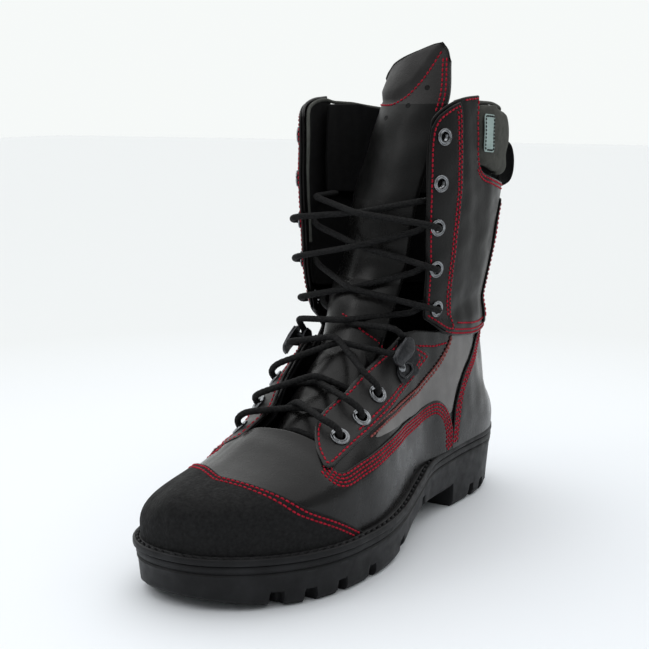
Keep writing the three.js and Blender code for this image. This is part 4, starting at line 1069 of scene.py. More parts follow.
def add_collar():
    field = outline_distance(Y, Z, rounded(COLLAR_EDGE, 0.3))
    patch = Patch(dict(BASE.values, f=field), BASE.triangles).near(field < 1)
    patch, cut = patch.split("f", 0, keep_above=False)
    tree = tree_of(cut.reshape(-1, 3))
    d = np.array([tree.find(p)[2] for p in patch["p"].tolist()])
    crown = np.sqrt(np.clip(1 - (1 - np.clip(d / COLLAR_CROWN, 0, 1)) ** 2, 0, 1)) * 0.5
    crown = np.where(patch["cut"] > 0.5, 0, crown)
    fold = np.exp(-(((patch["flat"][:, 2] - COLLAR_FOLD_Z) / 1.9) ** 2)) * COLLAR_FOLD_DEPTH * smooth(d, 1, 6)
    low = COLLAR_BASE + COLLAR_THICK * (0.5 - crown)
    high = COLLAR_BASE + COLLAR_THICK * (0.5 + crown) - fold
    outer = patch["p"] + patch["n"] * high[:, None]
    inner = patch["p"] + patch["n"] * low[:, None]
    free = patch["cut"] < 0.5
    second = np.where(free, len(outer) + np.cumsum(free) - 1, np.arange(len(outer)))
    made = new_object("collar_cushion", np.concatenate([outer, inner[free]]),
                      np.concatenate([patch.triangles, second[patch.triangles][:, ::-1]]), COLLAR)
    puff(made)
    place(made, "shaft", "collar_textile", ["collar_pad"])
    badge = np.maximum(outline_distance(Y, Z, rounded(COLLAR_LABEL, 0.15)), -X)
    add("collar_patch", "shaft", "label_fabric", ["collar_label"], PATCH_CLOTH, badge, *LABEL_LAYER,
        rows=[(1.2, anywhere, "dark_shaft", 2.2)])
    inside = outline_distance(Y, Z, COLLAR_INSIDE)
    add("collar_inner_lining", "shaft", "lining_textile", [], LINING, inside, *COLLAR_LINING_LAYER)
    add_rim_binding()


BINDING_BACK = [[40, 262.5], [60, 263], [85, 262], [120, 257.5], [155, 249.5]]
BINDING_DEPTH_BACK, BINDING_DEPTH_HEAD, BINDING_RADIUS = 3.8, 3.2, 1.1


def add_rim_binding():
    """Piping along the collar's top edge, from one flap round the back to the other."""
    angle = np.linspace(math.radians(80), math.radians(280), 150)
    start = np.full(angle.shape, float(COLUMN_X))
    middle = np.full(angle.shape, 70.0)
    rim_y, rim_z = np.transpose(BINDING_BACK)
    back = cast_out(start, middle, np.sin(angle), -np.cos(angle), lambda at: np.interp(at, rim_y, rim_z))
    back = back - last_normal(back) * BINDING_DEPTH_BACK
    y, z = resample(bowed(BINDING_HEAD), 1.4).T
    lateral, medial = (side_point(y, z, side, -BINDING_DEPTH_HEAD)[0] for side in SIDES.values())
    path = relax(np.concatenate([lateral[y > 34], back, medial[::-1]]), 8)
    vertices, faces = tube_points(path, BINDING_RADIUS, 12)
    place(new_object("collar_binding", vertices, faces, BINDING), "shaft", "collar_textile")


def closed_curve(points, steps=8):
    """Smooth closed curve through the points."""
    p = np.array(points, float)
    count = len(p)
    fine = []
    for i in range(count):
        a, b, c, d = p[i - 1], p[i], p[(i + 1) % count], p[(i + 2) % count]
        for t in np.arange(steps) / steps:
            fine.append(0.5 * (2 * b + (c - a) * t + (2 * a - 5 * b + 4 * c - d) * t * t
                               + (3 * b - a - 3 * c + d) * t ** 3))
    return np.array(fine)


def webbing_section(width, thick):
    """Section of a flat band: across, then through its thickness."""
    half, edge, face = thick / 2, width / 2, np.linspace(-1, 1, 9) * (width / 2 - 0.9)
    return [*[(u, half) for u in face], (edge - 0.25, half * 0.7), (edge, 0), (edge - 0.25, -half * 0.7),
            *[(-u, -half) for u in face], (0.25 - edge, -half * 0.7), (-edge, 0), (0.25 - edge, half * 0.7)]


# the loop's path in its own plane: out from the boot, and up
LOOP_PATH = [[0.9, 208.2], [5, 207.6], [9.6, 210.6], [11.9, 217], [12, 226], [9.6, 233.4], [5, 236.6],
             [0.9, 236.6], [0.8, 222]]
LOOP_WIDTH, LOOP_THICK, LOOP_STITCHES = 14.6, 1.8, 6


def add_pull_loop():
    base = np.array([LOOP["x"], LOOP["y"], 0])
    path = closed_curve(LOOP_PATH)
    tangent = np.roll(path, -1, 0) - np.roll(path, 1, 0)
    tangent /= np.linalg.norm(tangent, axis=1, keepdims=True)
    section = webbing_section(LOOP_WIDTH, LOOP_THICK)
    up = np.array([0, 0, 1])
    vertices = [base + LOOP_OUT * (out + v * rise) + LOOP_SIDE * u + up * (z - v * run)
                for (out, z), (run, rise) in zip(path, tangent) for u, v in section]
    faces = ring_faces(len(path), len(section), closed=True)
    made = new_object("pull_loop_webbing", vertices, faces, WEBBING)
    place(made, "pull_loop", "webbing", ["pull_loop"])
    stitches = threads.setdefault("dark_loop", [])
    for k in range(LOOP_STITCHES):
        at = base + LOOP_OUT * 10.9 + LOOP_SIDE * (k * 2.2 - 5.5) + up * 231.5
        stitches.append((at, LOOP_SIDE * 0.8, LOOP_OUT * 0.9 + up * 0.42, 0.4))


# ---------------------------------------------------------------- sole
OUTLINE_POINTS, MOULDED_EDGE, GROOVE_REACH = 960, 48, 3.6
WELT_SEAM_OUT, WELT_SEAM_DOWN = 4.35, 0.85
# the sole's wall under the welt: depth below its top and how far in it stands
WALL_PROFILE = [(0, 0.9), (0.35, 0.25), (0.9, 0), (3.4, 0), (3.9, 0.35), (4.3, 1.2), (4.9, 1.3), (5.4, 0.6),
                (6.0, 0.3)]
# the welt's section: out from the outline, and up from the rim
WELT_PROFILE = [(-2.5, -WELT_THICK), (6.2, -WELT_THICK), (6.9, -3.6), (7.05, -3.0), (7.05, -0.9), (6.7, -0.3),
                (6.1, 0), (5.6, -0.05), (5.2, -0.45), (5.0, -1.0), (3.7, -1.0), (3.5, -0.4), (3.1, 0.1),
                (2.5, 0.25), (-2.5, 0.25)]


def sole_outline():
    """Points round the upper's outline and the outward direction at each."""
    y = TOE_Y + (HEEL_Y - TOE_Y) * (0.5 - 0.5 * np.cos(np.linspace(0, np.pi, 700)))
    w = half_width(y)
    right = np.stack([spline(AXIS, y) + w, y], 1)
    left = np.stack([spline(AXIS, y) - w, y], 1)[::-1]
    loop = np.concatenate([right, left[1:]])
    line = resample(loop, 0.05)
    at = np.linspace(0, len(line) - 1, OUTLINE_POINTS + 1)[:-1].astype(int)
    p = line[at]
    tangent = np.roll(p, -3, 0) - np.roll(p, 3, 0)
    tangent /= np.linalg.norm(tangent, axis=1, keepdims=True)
    normal = np.stack([tangent[:, 1], -tangent[:, 0]], 1)
    for _ in range(20):
        normal = normal * 0.5 + (np.roll(normal, 1, 0) + np.roll(normal, -1, 0)) * 0.25
    return p, normal / np.linalg.norm(normal, axis=1, keepdims=True)


def tread_bottom(y):
    """Height of the tread: the toe's spring, the raised waist and the heel."""
    z = TOE_SPRING * np.maximum((-105 - y) / 55, 0) ** 2 + WAIST_RISE * smooth(y, -40, 5)
    heel = np.maximum((y - 145) / 20 * 5, 0)
    return z + (heel - z) * smooth(y, HEEL_BREAST_Y - 1.5, HEEL_BREAST_Y + 0.2)


def tread_groove(y):
    """1 in a groove between the lugs, 0 on them."""
    mask = np.zeros_like(y)
    for g in TREAD_GROOVES + [h + TREAD_GROOVE / 2 for h in HEEL_GROOVES]:
        mask = np.maximum(mask, 1 - smooth(np.abs(y - g), TREAD_GROOVE / 2, TREAD_GROOVE / 2 + 0.9))
    return mask


def shell(name, rows, material, closed=False):
    """Moulded body from rings of points, with its sharp edges kept."""
    faces = ring_faces(len(rows), len(rows[0]), closed, flip=True)
    made = new_object(name, np.concatenate(rows), faces, material)
    made.data.set_sharp_from_angle(angle=math.radians(MOULDED_EDGE))
    return made


def sole_wall(z):
    """How far the sole's wall stands out from the outline at a height."""
    return SOLE_FOOT_PROUD + (SOLE_TOP_PROUD - SOLE_FOOT_PROUD) * z / 50


def add_sole_unit(p, n):
    y = p[:, 1]
    top = spline(RIM, y) - WELT_THICK - 0.3
    groove = tread_groove(y)
    low = tread_bottom(y) + TREAD_DEPTH * groove
    notch = GROOVE_REACH * groove
    rows = []

    def row(proud, z):
        rows.append(np.concatenate([p + n * np.reshape(proud, (-1, 1)), np.reshape(z, (-1, 1))], 1))

    row(np.full(len(p), -4.0), top)
    for depth, inset in WALL_PROFILE:
        row(sole_wall(top) - inset, top - depth)
    for share in (0.12, 0.3, 0.5, 0.7, 0.82, 0.9):
        z = (top - 6.0) * (1 - share) + (low + 1.2) * share
        row(sole_wall(z) - 0.3 - notch * smooth(8.6 - (z - tread_bottom(y)), 0, 2.2), z)
    row(sole_wall(low + 1.2) - 1.3 - notch, low + 1.6)
    row(sole_wall(low) - 2.1 - notch, low + 0.5)
    row(sole_wall(low) - 3.0 - notch, low)
    edge = rows[-1][:, :2]
    centre_y = np.clip(y, TOE_Y + 46, HEEL_Y - 34)
    centre = np.stack([spline(AXIS, centre_y), centre_y], 1)
    for share in np.linspace(0.03, 1, 30):
        q = edge * (1 - share) + centre * share
        hollow = np.maximum(tread_groove(q[:, 1]), 0.55 * (share > 0.93))
        rows.append(np.concatenate([q, (tread_bottom(q[:, 1]) + TREAD_DEPTH * hollow)[:, None]], 1))
    place(shell("sole_unit", rows, SOLE), "foot", "sole_rubber", ["outsole"])


def add_welt(p, n):
    """Rim between sole and upper, with its moulded stitches."""
    rim = spline(RIM, p[:, 1])
    welt = [np.concatenate([p + n * out, (rim + up)[:, None]], 1) for out, up in WELT_PROFILE]
    place(shell("welt_band", welt[::-1], SOLE, closed=True), "foot", "sole_rubber", ["welt"])
    line = np.concatenate([p + n * WELT_SEAM_OUT, (rim - WELT_SEAM_DOWN)[:, None]], 1)
    line = np.concatenate([line, line[:1]])
    up = np.tile([0.0, 0.0, 1.0], (len(line), 1))
    sew("moulded", line, up, pitch=5.4, radius=1.0, lift=0.15, share=0.74)
    place(stitch_mesh("moulded_welt_stitches", "moulded", SOLE), "foot", "sole_rubber")


# ---------------------------------------------------------------- tongue
# the tongue's half width under the throat, from its lower end to the ankle
GUSSET_HALF_WIDTH = [[-96, 20], [-60, 28.5], [-30, 31], [0, 32]]
CAP_SEAM_Z, TONGUE_END_Z, FOLD_SPLIT_Z = 262, 299, 204
TONGUE_HALF, TONGUE_THICK, CAP_THICK, CAP_SWELL = 34, 3.2, 3.6, 2.4
# height of the tip and of the cap's seam, across the tongue from -1 to 1
TONGUE_TIP = [[-1, 275], [-0.9, 279], [-0.6, 285.5], [-0.2, 289.5], [0.2, 293], [0.55, 296.5], [0.75, 297.5],
              [0.9, 294], [1, 287]]
TONGUE_SEAM = [[-1, 262.5], [-0.68, 262.3], [-0.15, 262.8], [0.2, 268], [0.45, 279], [0.65, 289], [0.78, 297]]
PUNCHED = [[-0.2, 254], [0.23, 260.5], [0.53, 271.5]]
ACROSS, TONGUE_ROW_PITCH = 49, 1.3


def top_height(x, y):
    """Height of the foot's upper surface above a place in plan."""
    inside, outside = np.full(x.shape, 55.0), np.full(x.shape, 200.0)
    for _ in range(26):
        middle = (inside + outside) / 2
        within = foot_field(x, y, middle) < 0
        inside, outside = np.where(within, middle, inside), np.where(within, outside, middle)
    return inside


def refined(rows, pitch):
    """More rows between the given ones, along smooth curves."""
    fine = []
    for i in range(len(rows) - 1):
        a, b = rows[max(i - 1, 0)], rows[i]
        q, d = rows[i + 1], rows[min(i + 2, len(rows) - 1)]
        before, scale, after = (np.linalg.norm(step, axis=1, keepdims=True) for step in (b - a, q - b, d - q))
        start_slope = (q - a) / np.maximum(scale + before, 1e-6) * scale
        end_slope = (d - b) / np.maximum(after + scale, 1e-6) * scale
        steps = max(int(scale[len(scale) // 2, 0] / pitch), 2)
        for t in np.arange(steps) / steps:
            fine.append((2 * t ** 3 - 3 * t ** 2 + 1) * b + (t ** 3 - 2 * t ** 2 + t) * start_slope
                        + (3 * t ** 2 - 2 * t ** 3) * q + (t ** 3 - t ** 2) * end_slope)
    fine.append(rows[-1])
    return np.array(fine)


def tongue_front():
    """Rows of points over the tongue's front, from the vamp to the tip."""
    c = np.linspace(-1, 1, ACROSS)
    rows = []
    for y in np.arange(-96, -8, 8.0):
        x = MID_X + c * np.interp(y, *np.transpose(GUSSET_HALF_WIDTH))
        p = np.stack([x, np.full(x.shape, y), top_height(x, np.full(x.shape, y))], 1)
        rows.append(p - last_normal(p) * (TONGUE_DEPTH + 0.2))
    tip = np.interp(c, *np.transpose(TONGUE_TIP))
    levels = [np.arange(153, CAP_SEAM_Z, 9.0), np.arange(CAP_SEAM_Z, 300, 4.2), [TONGUE_END_Z]]
    for z in np.concatenate(levels):
        share = (z - CAP_SEAM_Z) / (TONGUE_END_Z - CAP_SEAM_Z)
        height = np.where(z > CAP_SEAM_Z, CAP_SEAM_Z + share * (tip - CAP_SEAM_Z), z)
        turn = c * (TONGUE_HALF - 9 * smooth(height, CAP_SEAM_Z, 300)) / TONGUE_RADIUS - TONGUE_TURN
        x = spline(TONGUE_X, height) + TONGUE_RADIUS * np.sin(turn)
        y = spline(TONGUE_Y, height) + TONGUE_RADIUS * (1 - np.cos(turn))
        rows.append(np.stack([x, y, height], 1))
    return refined(rows, TONGUE_ROW_PITCH)


def grid_normals(grid):
    du = np.gradient(grid, axis=1)
    dv = np.gradient(grid, axis=0)
    n = np.cross(du, dv)
    return n / np.maximum(np.linalg.norm(n, axis=-1, keepdims=True), 1e-9)


def tongue_piece(name, grid, normals, out, thick, material, where, nodes, first=False, last=False):
    """Closed body from a grid of front points; out is how far each front point stands off."""
    rows, columns = grid.shape[:2]
    c = np.linspace(-1, 1, columns)
    edge = np.sqrt(np.clip(1 - np.clip((np.abs(c) - 0.95) / 0.05, 0, 1) ** 2, 0, 1))
    ends = np.ones(rows)
    if last:
        ends[-3:] = [0.86, 0.6, 0.0]
    if first:
        ends[:2] = [0.0, 0.7]
    share = edge[None, :] * ends[:, None]
    middle = grid + normals * (out / 2 - thick / 2)[..., None]
    front = middle + normals * ((out + thick) / 2 * share)[..., None]
    back = middle - normals * ((out + thick) / 2 * share)[..., None]
    loops = [np.concatenate([f, b[::-1]]) for f, b in zip(front, back)]
    made = new_object(name, np.concatenate(loops), ring_faces(rows, len(loops[0])), material)
    return place(made, where, "black_leather", nodes), front


def add_tongue():
    """The tongue in three pieces, with its seams. Returns its front and the normals there."""
    grid = tongue_front()
    normals = grid_normals(grid)
    c = np.linspace(-1, 1, ACROSS)
    centre_z = grid[:, ACROSS // 2, 2]
    flat_part = centre_z > 155
    height = grid[..., 2]
    ripple = 0.5 * np.sin(height * 0.11 + c[None, :] * 2) + 0.35 * np.sin(height * 0.23 - c[None, :] * 3)
    belly = 7 * (1 - c[None, :] ** 2) * (1 - smooth(height, 138, 170)) * smooth(height, 66, 84)
    out = np.maximum(ripple * flat_part[:, None] * 0.6, -0.4) + belly
    seam = np.interp(c, *np.array(TONGUE_SEAM).T)[None, :]
    above = height - seam
    cap = smooth(above, 0.3, 7) * (1 - smooth(np.abs(c), 0.72, 1.0))[None, :]
    out = out + CAP_SWELL * cap - 0.5 * np.exp(-((above / 0.9) ** 2)) * (height > CAP_SEAM_Z)
    split = int(np.argmin(np.abs(centre_z - FOLD_SPLIT_Z)))
    top = int(np.argmin(np.abs(centre_z - CAP_SEAM_Z)))
    spans = [("tongue_below", 0, split, "ankle", ["tongue_lower", "tongue_middle"], LEATHER),
             ("tongue_above", split, top, "fold", ["tongue_top"], TONGUE_LEATHER)]
    fronts = []
    for name, a, b, where, nodes, material in spans:
        _, front = tongue_piece(name, grid[a:b + 1], normals[a:b + 1], out[a:b + 1], TONGUE_THICK,
                                material, where, nodes, first=a == 0)
        fronts.append(front)
    made, front = tongue_piece("tongue_cap", grid[top:], normals[top:], out[top:], CAP_THICK, CAP_LEATHER,
                               "fold", ["tongue_pad"], last=True)
    face = np.concatenate([fronts[0][:-1], fronts[1][:-1], front])
    for c_at in (0.9, 0.82):
        index = (c_at + 1) * (ACROSS - 1) / 2
        i = int(index)
        f = index - i
        line = face[:, i] * (1 - f) + face[:, i + 1] * f
        keep = (line[:, 2] > 256) & (line[:, 2] < 292)
        sew("red_tongue", line[keep], normals[keep, i], pitch=3.1)
    points, seam_normals = [], []
    for j in range(2, int(ACROSS * 0.9)):
        target = np.interp(c[j], *np.array(TONGUE_SEAM).T) - 1.6
        rows_up = height[:, j]
        k = int(np.argmin(np.abs(rows_up - target) + (rows_up < 240) * 100))
        points.append(face[k, j])
        seam_normals.append(normals[k, j])
    sew("red_tongue", relax(np.array(points), 12), np.array(seam_normals), pitch=2.9)
    return face, normals


HOLE_AROUND, HOLE_PROFILE = 14, [(1.7, 0.02), (1.6, 0.16), (1.5, 0.18), (1.3, 0.14), (0.0, 0.12)]


def add_perforations(face, normals):
    """Three small punched holes under the cap's seam, drawn as dark discs on the leather: painted shade of
    the holes.
    """
    c = np.linspace(-1, 1, ACROSS)
    quads = ring_faces(len(HOLE_PROFILE), HOLE_AROUND, flip=True)
    vertices, faces = [], []
    for c_at, height in PUNCHED:
        j = int(np.argmin(np.abs(c - c_at)))
        k = int(np.argmin(np.abs(face[:, j, 2] - height)))
        p, n = face[k, j], normals[k, j]
        u = np.cross(n, [0, 0, 1.0])
        u /= np.linalg.norm(u)
        v = np.cross(n, u)
        faces += (quads + len(vertices)).tolist()
        for r, h in HOLE_PROFILE:
            vertices += list(p + n * h + r * circle(u, v, HOLE_AROUND))
    made = new_object("tongue_perforations", vertices, faces, DARK_THREAD_AND_HOLE_SHADE)
    place(made, "tongue", "black_leather")


# ---------------------------------------------------------------- eyelets and hooks
def lathe(points, centre, normal, segments=30):
    """Turned ring from its section: radius, and height along the normal."""
    u = np.cross(normal, [0.3, 0.2, 1.0])
    u /= np.linalg.norm(u)
    v = np.cross(normal, u)
    vertices = [centre + normal * h + r * circle(u, v, segments) for r, h in points]
    return np.concatenate(vertices), ring_faces(len(points), segments, closed=True)


EYELET = [(3.0, -3.0), (3.0, 0.7), (3.15, 1.05), (3.5, 1.2), (3.9, 1.05), (4.1, 0.7), (4.5, 0.62),
          (4.75, 0.85), (5.1, 1.0), (5.5, 0.8), (5.7, 0.35), (5.6, 0.0), (5.3, -0.1), (3.5, -0.1),
          (3.5, -3.6), (4.9, -3.7), (4.9, -4.3), (3.5, -4.4)]


def joined(parts):
    vertices, faces, start = [], [], 0
    for v, f in parts:
        vertices.append(np.asarray(v, float))
        faces += [tuple(int(k) + start for k in face) for face in f]
        start += len(v)
    return np.concatenate(vertices), faces


def add_eyelets():
    for group, lift, flange in (("lower", 1.85, 1.0), ("upper", 2.5, 0.78)):
        profile = [(min(r, 3.5) + max(r - 3.5, 0) * flange, h) for r, h in EYELET]
        for name, side in SIDES.items():
            places = LOWER_EYELETS[name] if group == "lower" else UPPER_EYELETS
            parts = []
            for y, z in places:
                p, n = side_point(y, z, side)
                on_tip = 1.35 * smooth(-outline_distance(np.array([y]), np.array([z]), VAMP_EDGE), -4, 2)[0]
                parts.append(lathe(profile, p + n * (lift + on_tip * (group == "lower")), n))
            vertices, faces = joined(parts)
            made = new_object(f"{name}_{group}_eyelets", vertices, faces, PLATE)
            nodes = [f"{name}_{group}_eyelet_{k + 1}" for k in range(len(places))]
            place(made, "ankle", "eyelet_metal", nodes)


def hook_basis(side):
    """The hook's origin, and its directions across, along and out."""
    p, n = side_point(HOOK[0], HOOK[1], side, 2.1)
    along = np.array([0, 0.42, 0.9])
    along = along - n * (along @ n)
    along /= np.linalg.norm(along)
    return p, np.cross(along, n), along, n


def capped_faces(rings, around):
    first = list(range(around))
    last = [k + (rings - 1) * around for k in first]
    return [*ring_faces(rings, around).tolist(), first[::-1], last]


def bevelled(outline, low, high, bevel):
    """Flat plate with its edges rounded, from an outline round its middle."""
    ring = np.array(outline, float)

    def inset(by):
        a = np.roll(ring, -1, 0) - np.roll(ring, 1, 0)
        out = np.stack([a[:, 1], -a[:, 0]], 1)
        out /= np.linalg.norm(out, axis=1, keepdims=True)
        return ring - out * by

    levels = [(0, low), (0, high - bevel), (bevel * 0.3, high - bevel * 0.3), (bevel, high)]
    vertices = []
    for by, z in levels:
        vertices += [(x, y, z) for x, y in inset(by)]
    return np.array(vertices), capped_faces(len(levels), len(ring))


def tube_points(path, radius, around):
    path = np.asarray(path, float)
    frames = frames_along(path, [0.1, 0.9, 0.3])
    rings = [p + radius * circle(u, v, around) for p, (u, v) in zip(path, frames)]
    return np.concatenate(rings), capped_faces(len(path), around)


# the hook in its own frame: across, along, and for its tubes out from the boot
HOOK_POST = [[0, 6, 1.0], [0, 6, 2.4], [0, 6, 4.6], [0, 6, 7.0]]
HOOK_RIDGE = [[-1.4, -10, 1.3], [3, -12, 2.0], [6.2, -8.6, 1.6], [8.6, -5.4, 1.9], [6.4, -2, 2.1],
              [1.6, -2.6, 1.9], [-1, -6, 1.6], [-1.4, -10, 1.3]]
HOOK_RIM = [[-5.6, 9.8, 7.8], [-9.2, 3.2, 8.1], [-12, -4.4, 7.9], [-10, -7, 7.8], [-4.6, -8, 7.9]]
RIVET = [(0.02, 1.55), (1.2, 1.45), (2.4, 1.0), (3.0, 0.5), (3.2, 0.0), (0.02, 0.0)]
HOOK_PLATE = [[3, -15.5], [-2.6, -11], [-3, -5.4], [-5.4, 0], [-5.4, 9], [-1, 11.8], [5, 11.5], [10.4, 7.4],
              [12.4, 4.4], [12.2, 0.6], [10.4, -1.4], [13.6, -3], [13.2, -6], [9.2, -8.4], [6.6, -12]]
HOOK_LEAF = [[-5.4, 10.4], [-10, 3.4], [-13.4, -4.4], [-11.4, -7.4], [-5, -8.4], [-3.4, -4.4], [1.4, 0.6],
             [3, 5.4], [1.4, 10.6], [-1.4, 11.8]]


def add_hooks():
    for name, side in SIDES.items():
        origin, across, along, n = hook_basis(side)
        basis = np.stack([across * side, along, n])
        plate, leaf = (rounded(points, 0.28, 3) for points in (HOOK_PLATE, HOOK_LEAF))
        parts = [bevelled(plate, 0.1, 1.3, 0.5), bevelled(leaf, 6.4, 7.8, 0.6)]
        parts.append(tube_points(resample(HOOK_POST, 0.7), 2.1, 14))
        parts.append(tube_points(relax(resample(HOOK_RIDGE, 0.7), 6), 0.75, 8))
        parts.append(tube_points(relax(resample(HOOK_RIM, 0.7), 4), 0.7, 8))
        vertices, faces = joined(parts)
        vertices = vertices @ basis + origin
        if side < 0:
            faces = [face[::-1] for face in faces]
        made = new_object(f"{name}_hook", vertices, faces, CAST)
        made.data.set_sharp_from_angle(angle=math.radians(50))
        place(made, "ankle", "eyelet_metal", [f"{name}_lace_hook"])
        vertices, faces = lathe(RIVET, origin + along * -6 + n * 1.4, n, 24)
        made = new_object(f"{name}_rivet", vertices, faces, PLATE)
        place(made, "ankle", "eyelet_metal", [f"{name}_hook_rivet"])


# ---------------------------------------------------------------- lace: the route of the CAD source
LOWER_DEPTH, UPPER_DEPTH = -10, -6.6
LACE_AROUND, LACE_PITCH, BRAID_TURN, BRAID_DEPTH = 20, 0.55, 1.9, 0.075


def flap_edge(side, z, lift):
    """Point on the front edge of a shaft flap."""
    x = spline(FLAP_EDGE, z)
    x = x if side > 0 else 2 * MID_X - x
    p = cast_out(np.array(float(x)), np.array(60.0), 0.0, -1.0, lambda at: np.array(float(z)))
    return p + last_normal(p) * lift


def flat_against(v, n):
    """The direction v laid flat in the plane across n."""
    v = np.asarray(v, float)
    v = v - n * (v @ n)
    return v / np.linalg.norm(v)


def through_eyelet(kind, y, z, side):
    """The lace's way up through an eyelet and off over the flap's edge."""
    p, n = side_point(y, z, side)
    if kind == "lower":
        inward = flat_against([-side, 0, 0], n)
        return [p + inward * 9 + n * LOWER_DEPTH, p + inward * 2.5 + n * (LOWER_DEPTH + 1), p - n * 5,
                p + n * 4.2, p + inward * 1.5 + n * 6.8, p + inward * 5 + n * 7.4, p + inward * 13 + n * 7.0]
    forward = flat_against([0, -1, 0], n)
    corner, _ = side_point((y + flap_edge(side, z, 0)[1]) / 2, z + 1.5, side, 7.6)
    return [flap_edge(side, z - 3, UPPER_DEPTH), p + forward * 2.5 + n * UPPER_DEPTH, p - n * 4.4,
            p + n * 4.8, p + forward * 1.5 + n * 7.6, corner, flap_edge(side, z + 3, 7.6)]


def round_hook(side):
    """The lace's way round a hook's post."""
    origin, across, along, n = hook_basis(side)
    points = [(14, -2, 5.95), (4, 0.5, 3.75), (-2.5, 1.5, 3.75), (-5.4, 6, 3.75), (-2.5, 10.5, 3.75),
              (4, 11.5, 3.75), (13, 14, 5.15)]
    return [origin + across * (-side * a) + along * u + n * o for a, u, o in points]


def crossing(a, b, over):
    """Where the lace crosses the middle between two stations."""
    if a[0] != "upper":
        y = -8.0 if b[0] == "upper" else (a[1] + b[1]) / 2
        x = np.array([float(MID_X)])
        p = np.stack([x, np.array([y]), top_height(x, np.array([y]))], 1)[0]
        return p + last_normal(p) * (2.6 if over else -2.6)
    z = (a[2] + b[2]) / 2
    return np.array([MID_X, spline(TONGUE_Y, z) - (14 if over else 9), z])


def lace_half(first):
    """The lace's route from the lowest eyelet on one side up to its hidden end."""
    stations = {side: [("lower", y, z) for y, z in LOWER_EYELETS[name]] + [("hook", *HOOK)]
                + [("upper", y, z) for y, z in UPPER_EYELETS[:3]] for name, side in SIDES.items()}
    end = ("upper", 60, 205)
    count = len(stations[first])
    points = []
    for k in range(count):
        side = first if k % 2 == 0 else -first
        station = stations[side][k]
        points += round_hook(side) if station[0] == "hook" else through_eyelet(*station, side)
        following = stations[-side][k + 1] if k + 1 < count else end
        points.append(crossing(station, following, first > 0))
    tail, _ = side_point(end[1], end[2] - 1, -first, UPPER_DEPTH)
    return [*points, flap_edge(-first, end[2], UPPER_DEPTH), tail]


def add_lace():
    x, y = np.array([float(MID_X)]), np.array([float(LOWER_EYELETS["lateral"][0][0])])
    bar = np.stack([x, y, top_height(x, y)], 1)[0]
    middle = bar + last_normal(bar) * LOWER_DEPTH
    corners = np.array([*lace_half(1)[::-1], middle, *lace_half(-1)])
    line = relax(resample(corners, 0.9), 26)
    line = resample(line, LACE_PITCH)
    angle = 2 * np.pi * np.arange(LACE_AROUND) / LACE_AROUND
    rings = []
    for k, (p, (u, v)) in enumerate(zip(line, frames_along(line, [0.2, 0.5, 0.9]))):
        turn = k * LACE_PITCH * BRAID_TURN
        braid = np.maximum(np.sin(4 * angle + turn), np.sin(4 * angle - turn))
        radius = LACE_RADIUS * (0.97 + BRAID_DEPTH * braid)
        rings.append(p + radius[:, None] * circle(u, v, LACE_AROUND))
    made = new_object("lace_cord", np.concatenate(rings), ring_faces(len(line), LACE_AROUND), CORD)
    place(made, "ankle", "lace_cord", ["lace"])
    return np.linalg.norm(np.diff(line, axis=0), axis=1).sum()


# ---------------------------------------------------------------- everything together
GUSSET_ROWS = [[[-4, 4, 134], [1, 3, 131], [8, 0, 126], [19, 0, 119], [27, 4, 110]],
               [[22, -40, 100], [25, -37, 102], [27, -29, 107], [30, -19, 111]]]


def add_wedge():
    """Paler inlay on the quarter between the lower flap and the wing, with its double row."""
    shape = np.maximum.reduce([outline_distance(Y, Z, rounded(WEDGE, 0.25)), -COUNTER, -VAMP])
    for name, side in SIDES.items():
        field = np.maximum(shape, half(side))
        add(f"{name}_wedge_inlay", "ankle", "black_leather", [], GREY_LEATHER, field, *WEDGE_LAYER)
        y, z = resample(PALE_ROW, 0.7).T
        for lift_z, phase in ((-0.3, 0.0), (2.4, 0.5)):
            p, n = side_point(y, z + lift_z, side, 0.25)
            sew("pale", relax(p, 8), n, pitch=2.9, radius=0.6, lift=0.3, phase=phase)


def add_gusset_rows(face, normals):
    """Short seams across the tongue's gusset, seen between the laces."""
    tree = tree_of(face.reshape(-1, 3))
    flat_normals = normals.reshape(-1, 3)
    for row in GUSSET_ROWS:
        near = [tree.find(p) for p in resample(row, 0.8).tolist()]
        line = relax(np.array([co for co, _, _ in near], float), 10)
        sew("gusset", line, flat_normals[[index for _, index, _ in near]], pitch=3.0)


def dress_hidden_nodes():
    looks = {"shank": STEEL, "puncture_plate": STEEL, "safety_toe_cap": STEEL, "insole_board": BOARD,
             "heel_stiffener": FOAM, "footbed": FOAM}
    for name, look in looks.items():
        node = frame["nodes"][name]
        node.data.materials.clear()
        node.data.materials.append(look)


FLOOR_HALF = 6.0
# the floor's colour is paler near the boot and greyer further off: painted falloff of the studio light
FLOOR_NEAR, FLOOR_FAR, FLOOR_FADE = (0.84, 0.865, 0.9), (0.75, 0.765, 0.77), (0.2, 0.7)
WORLD_WAY, WORLD_FADE = (-0.53, 0.848, 0), (-0.1, 0.9)
WORLD_DARK, WORLD_BRIGHT = (0.32, 0.33, 0.33, 1), (0.925, 0.95, 0.94, 1)
LIT_POINT = (0, 0, 0.12)
# name, kind, place, size (an angle for the sun) and power
LIGHTS = [("sky", "SUN", (-0.12, 0.16, 1.1), 2.0, 2.2), ("key", "AREA", (-0.75, -1.0, 1.0), 0.5, 1.2)]


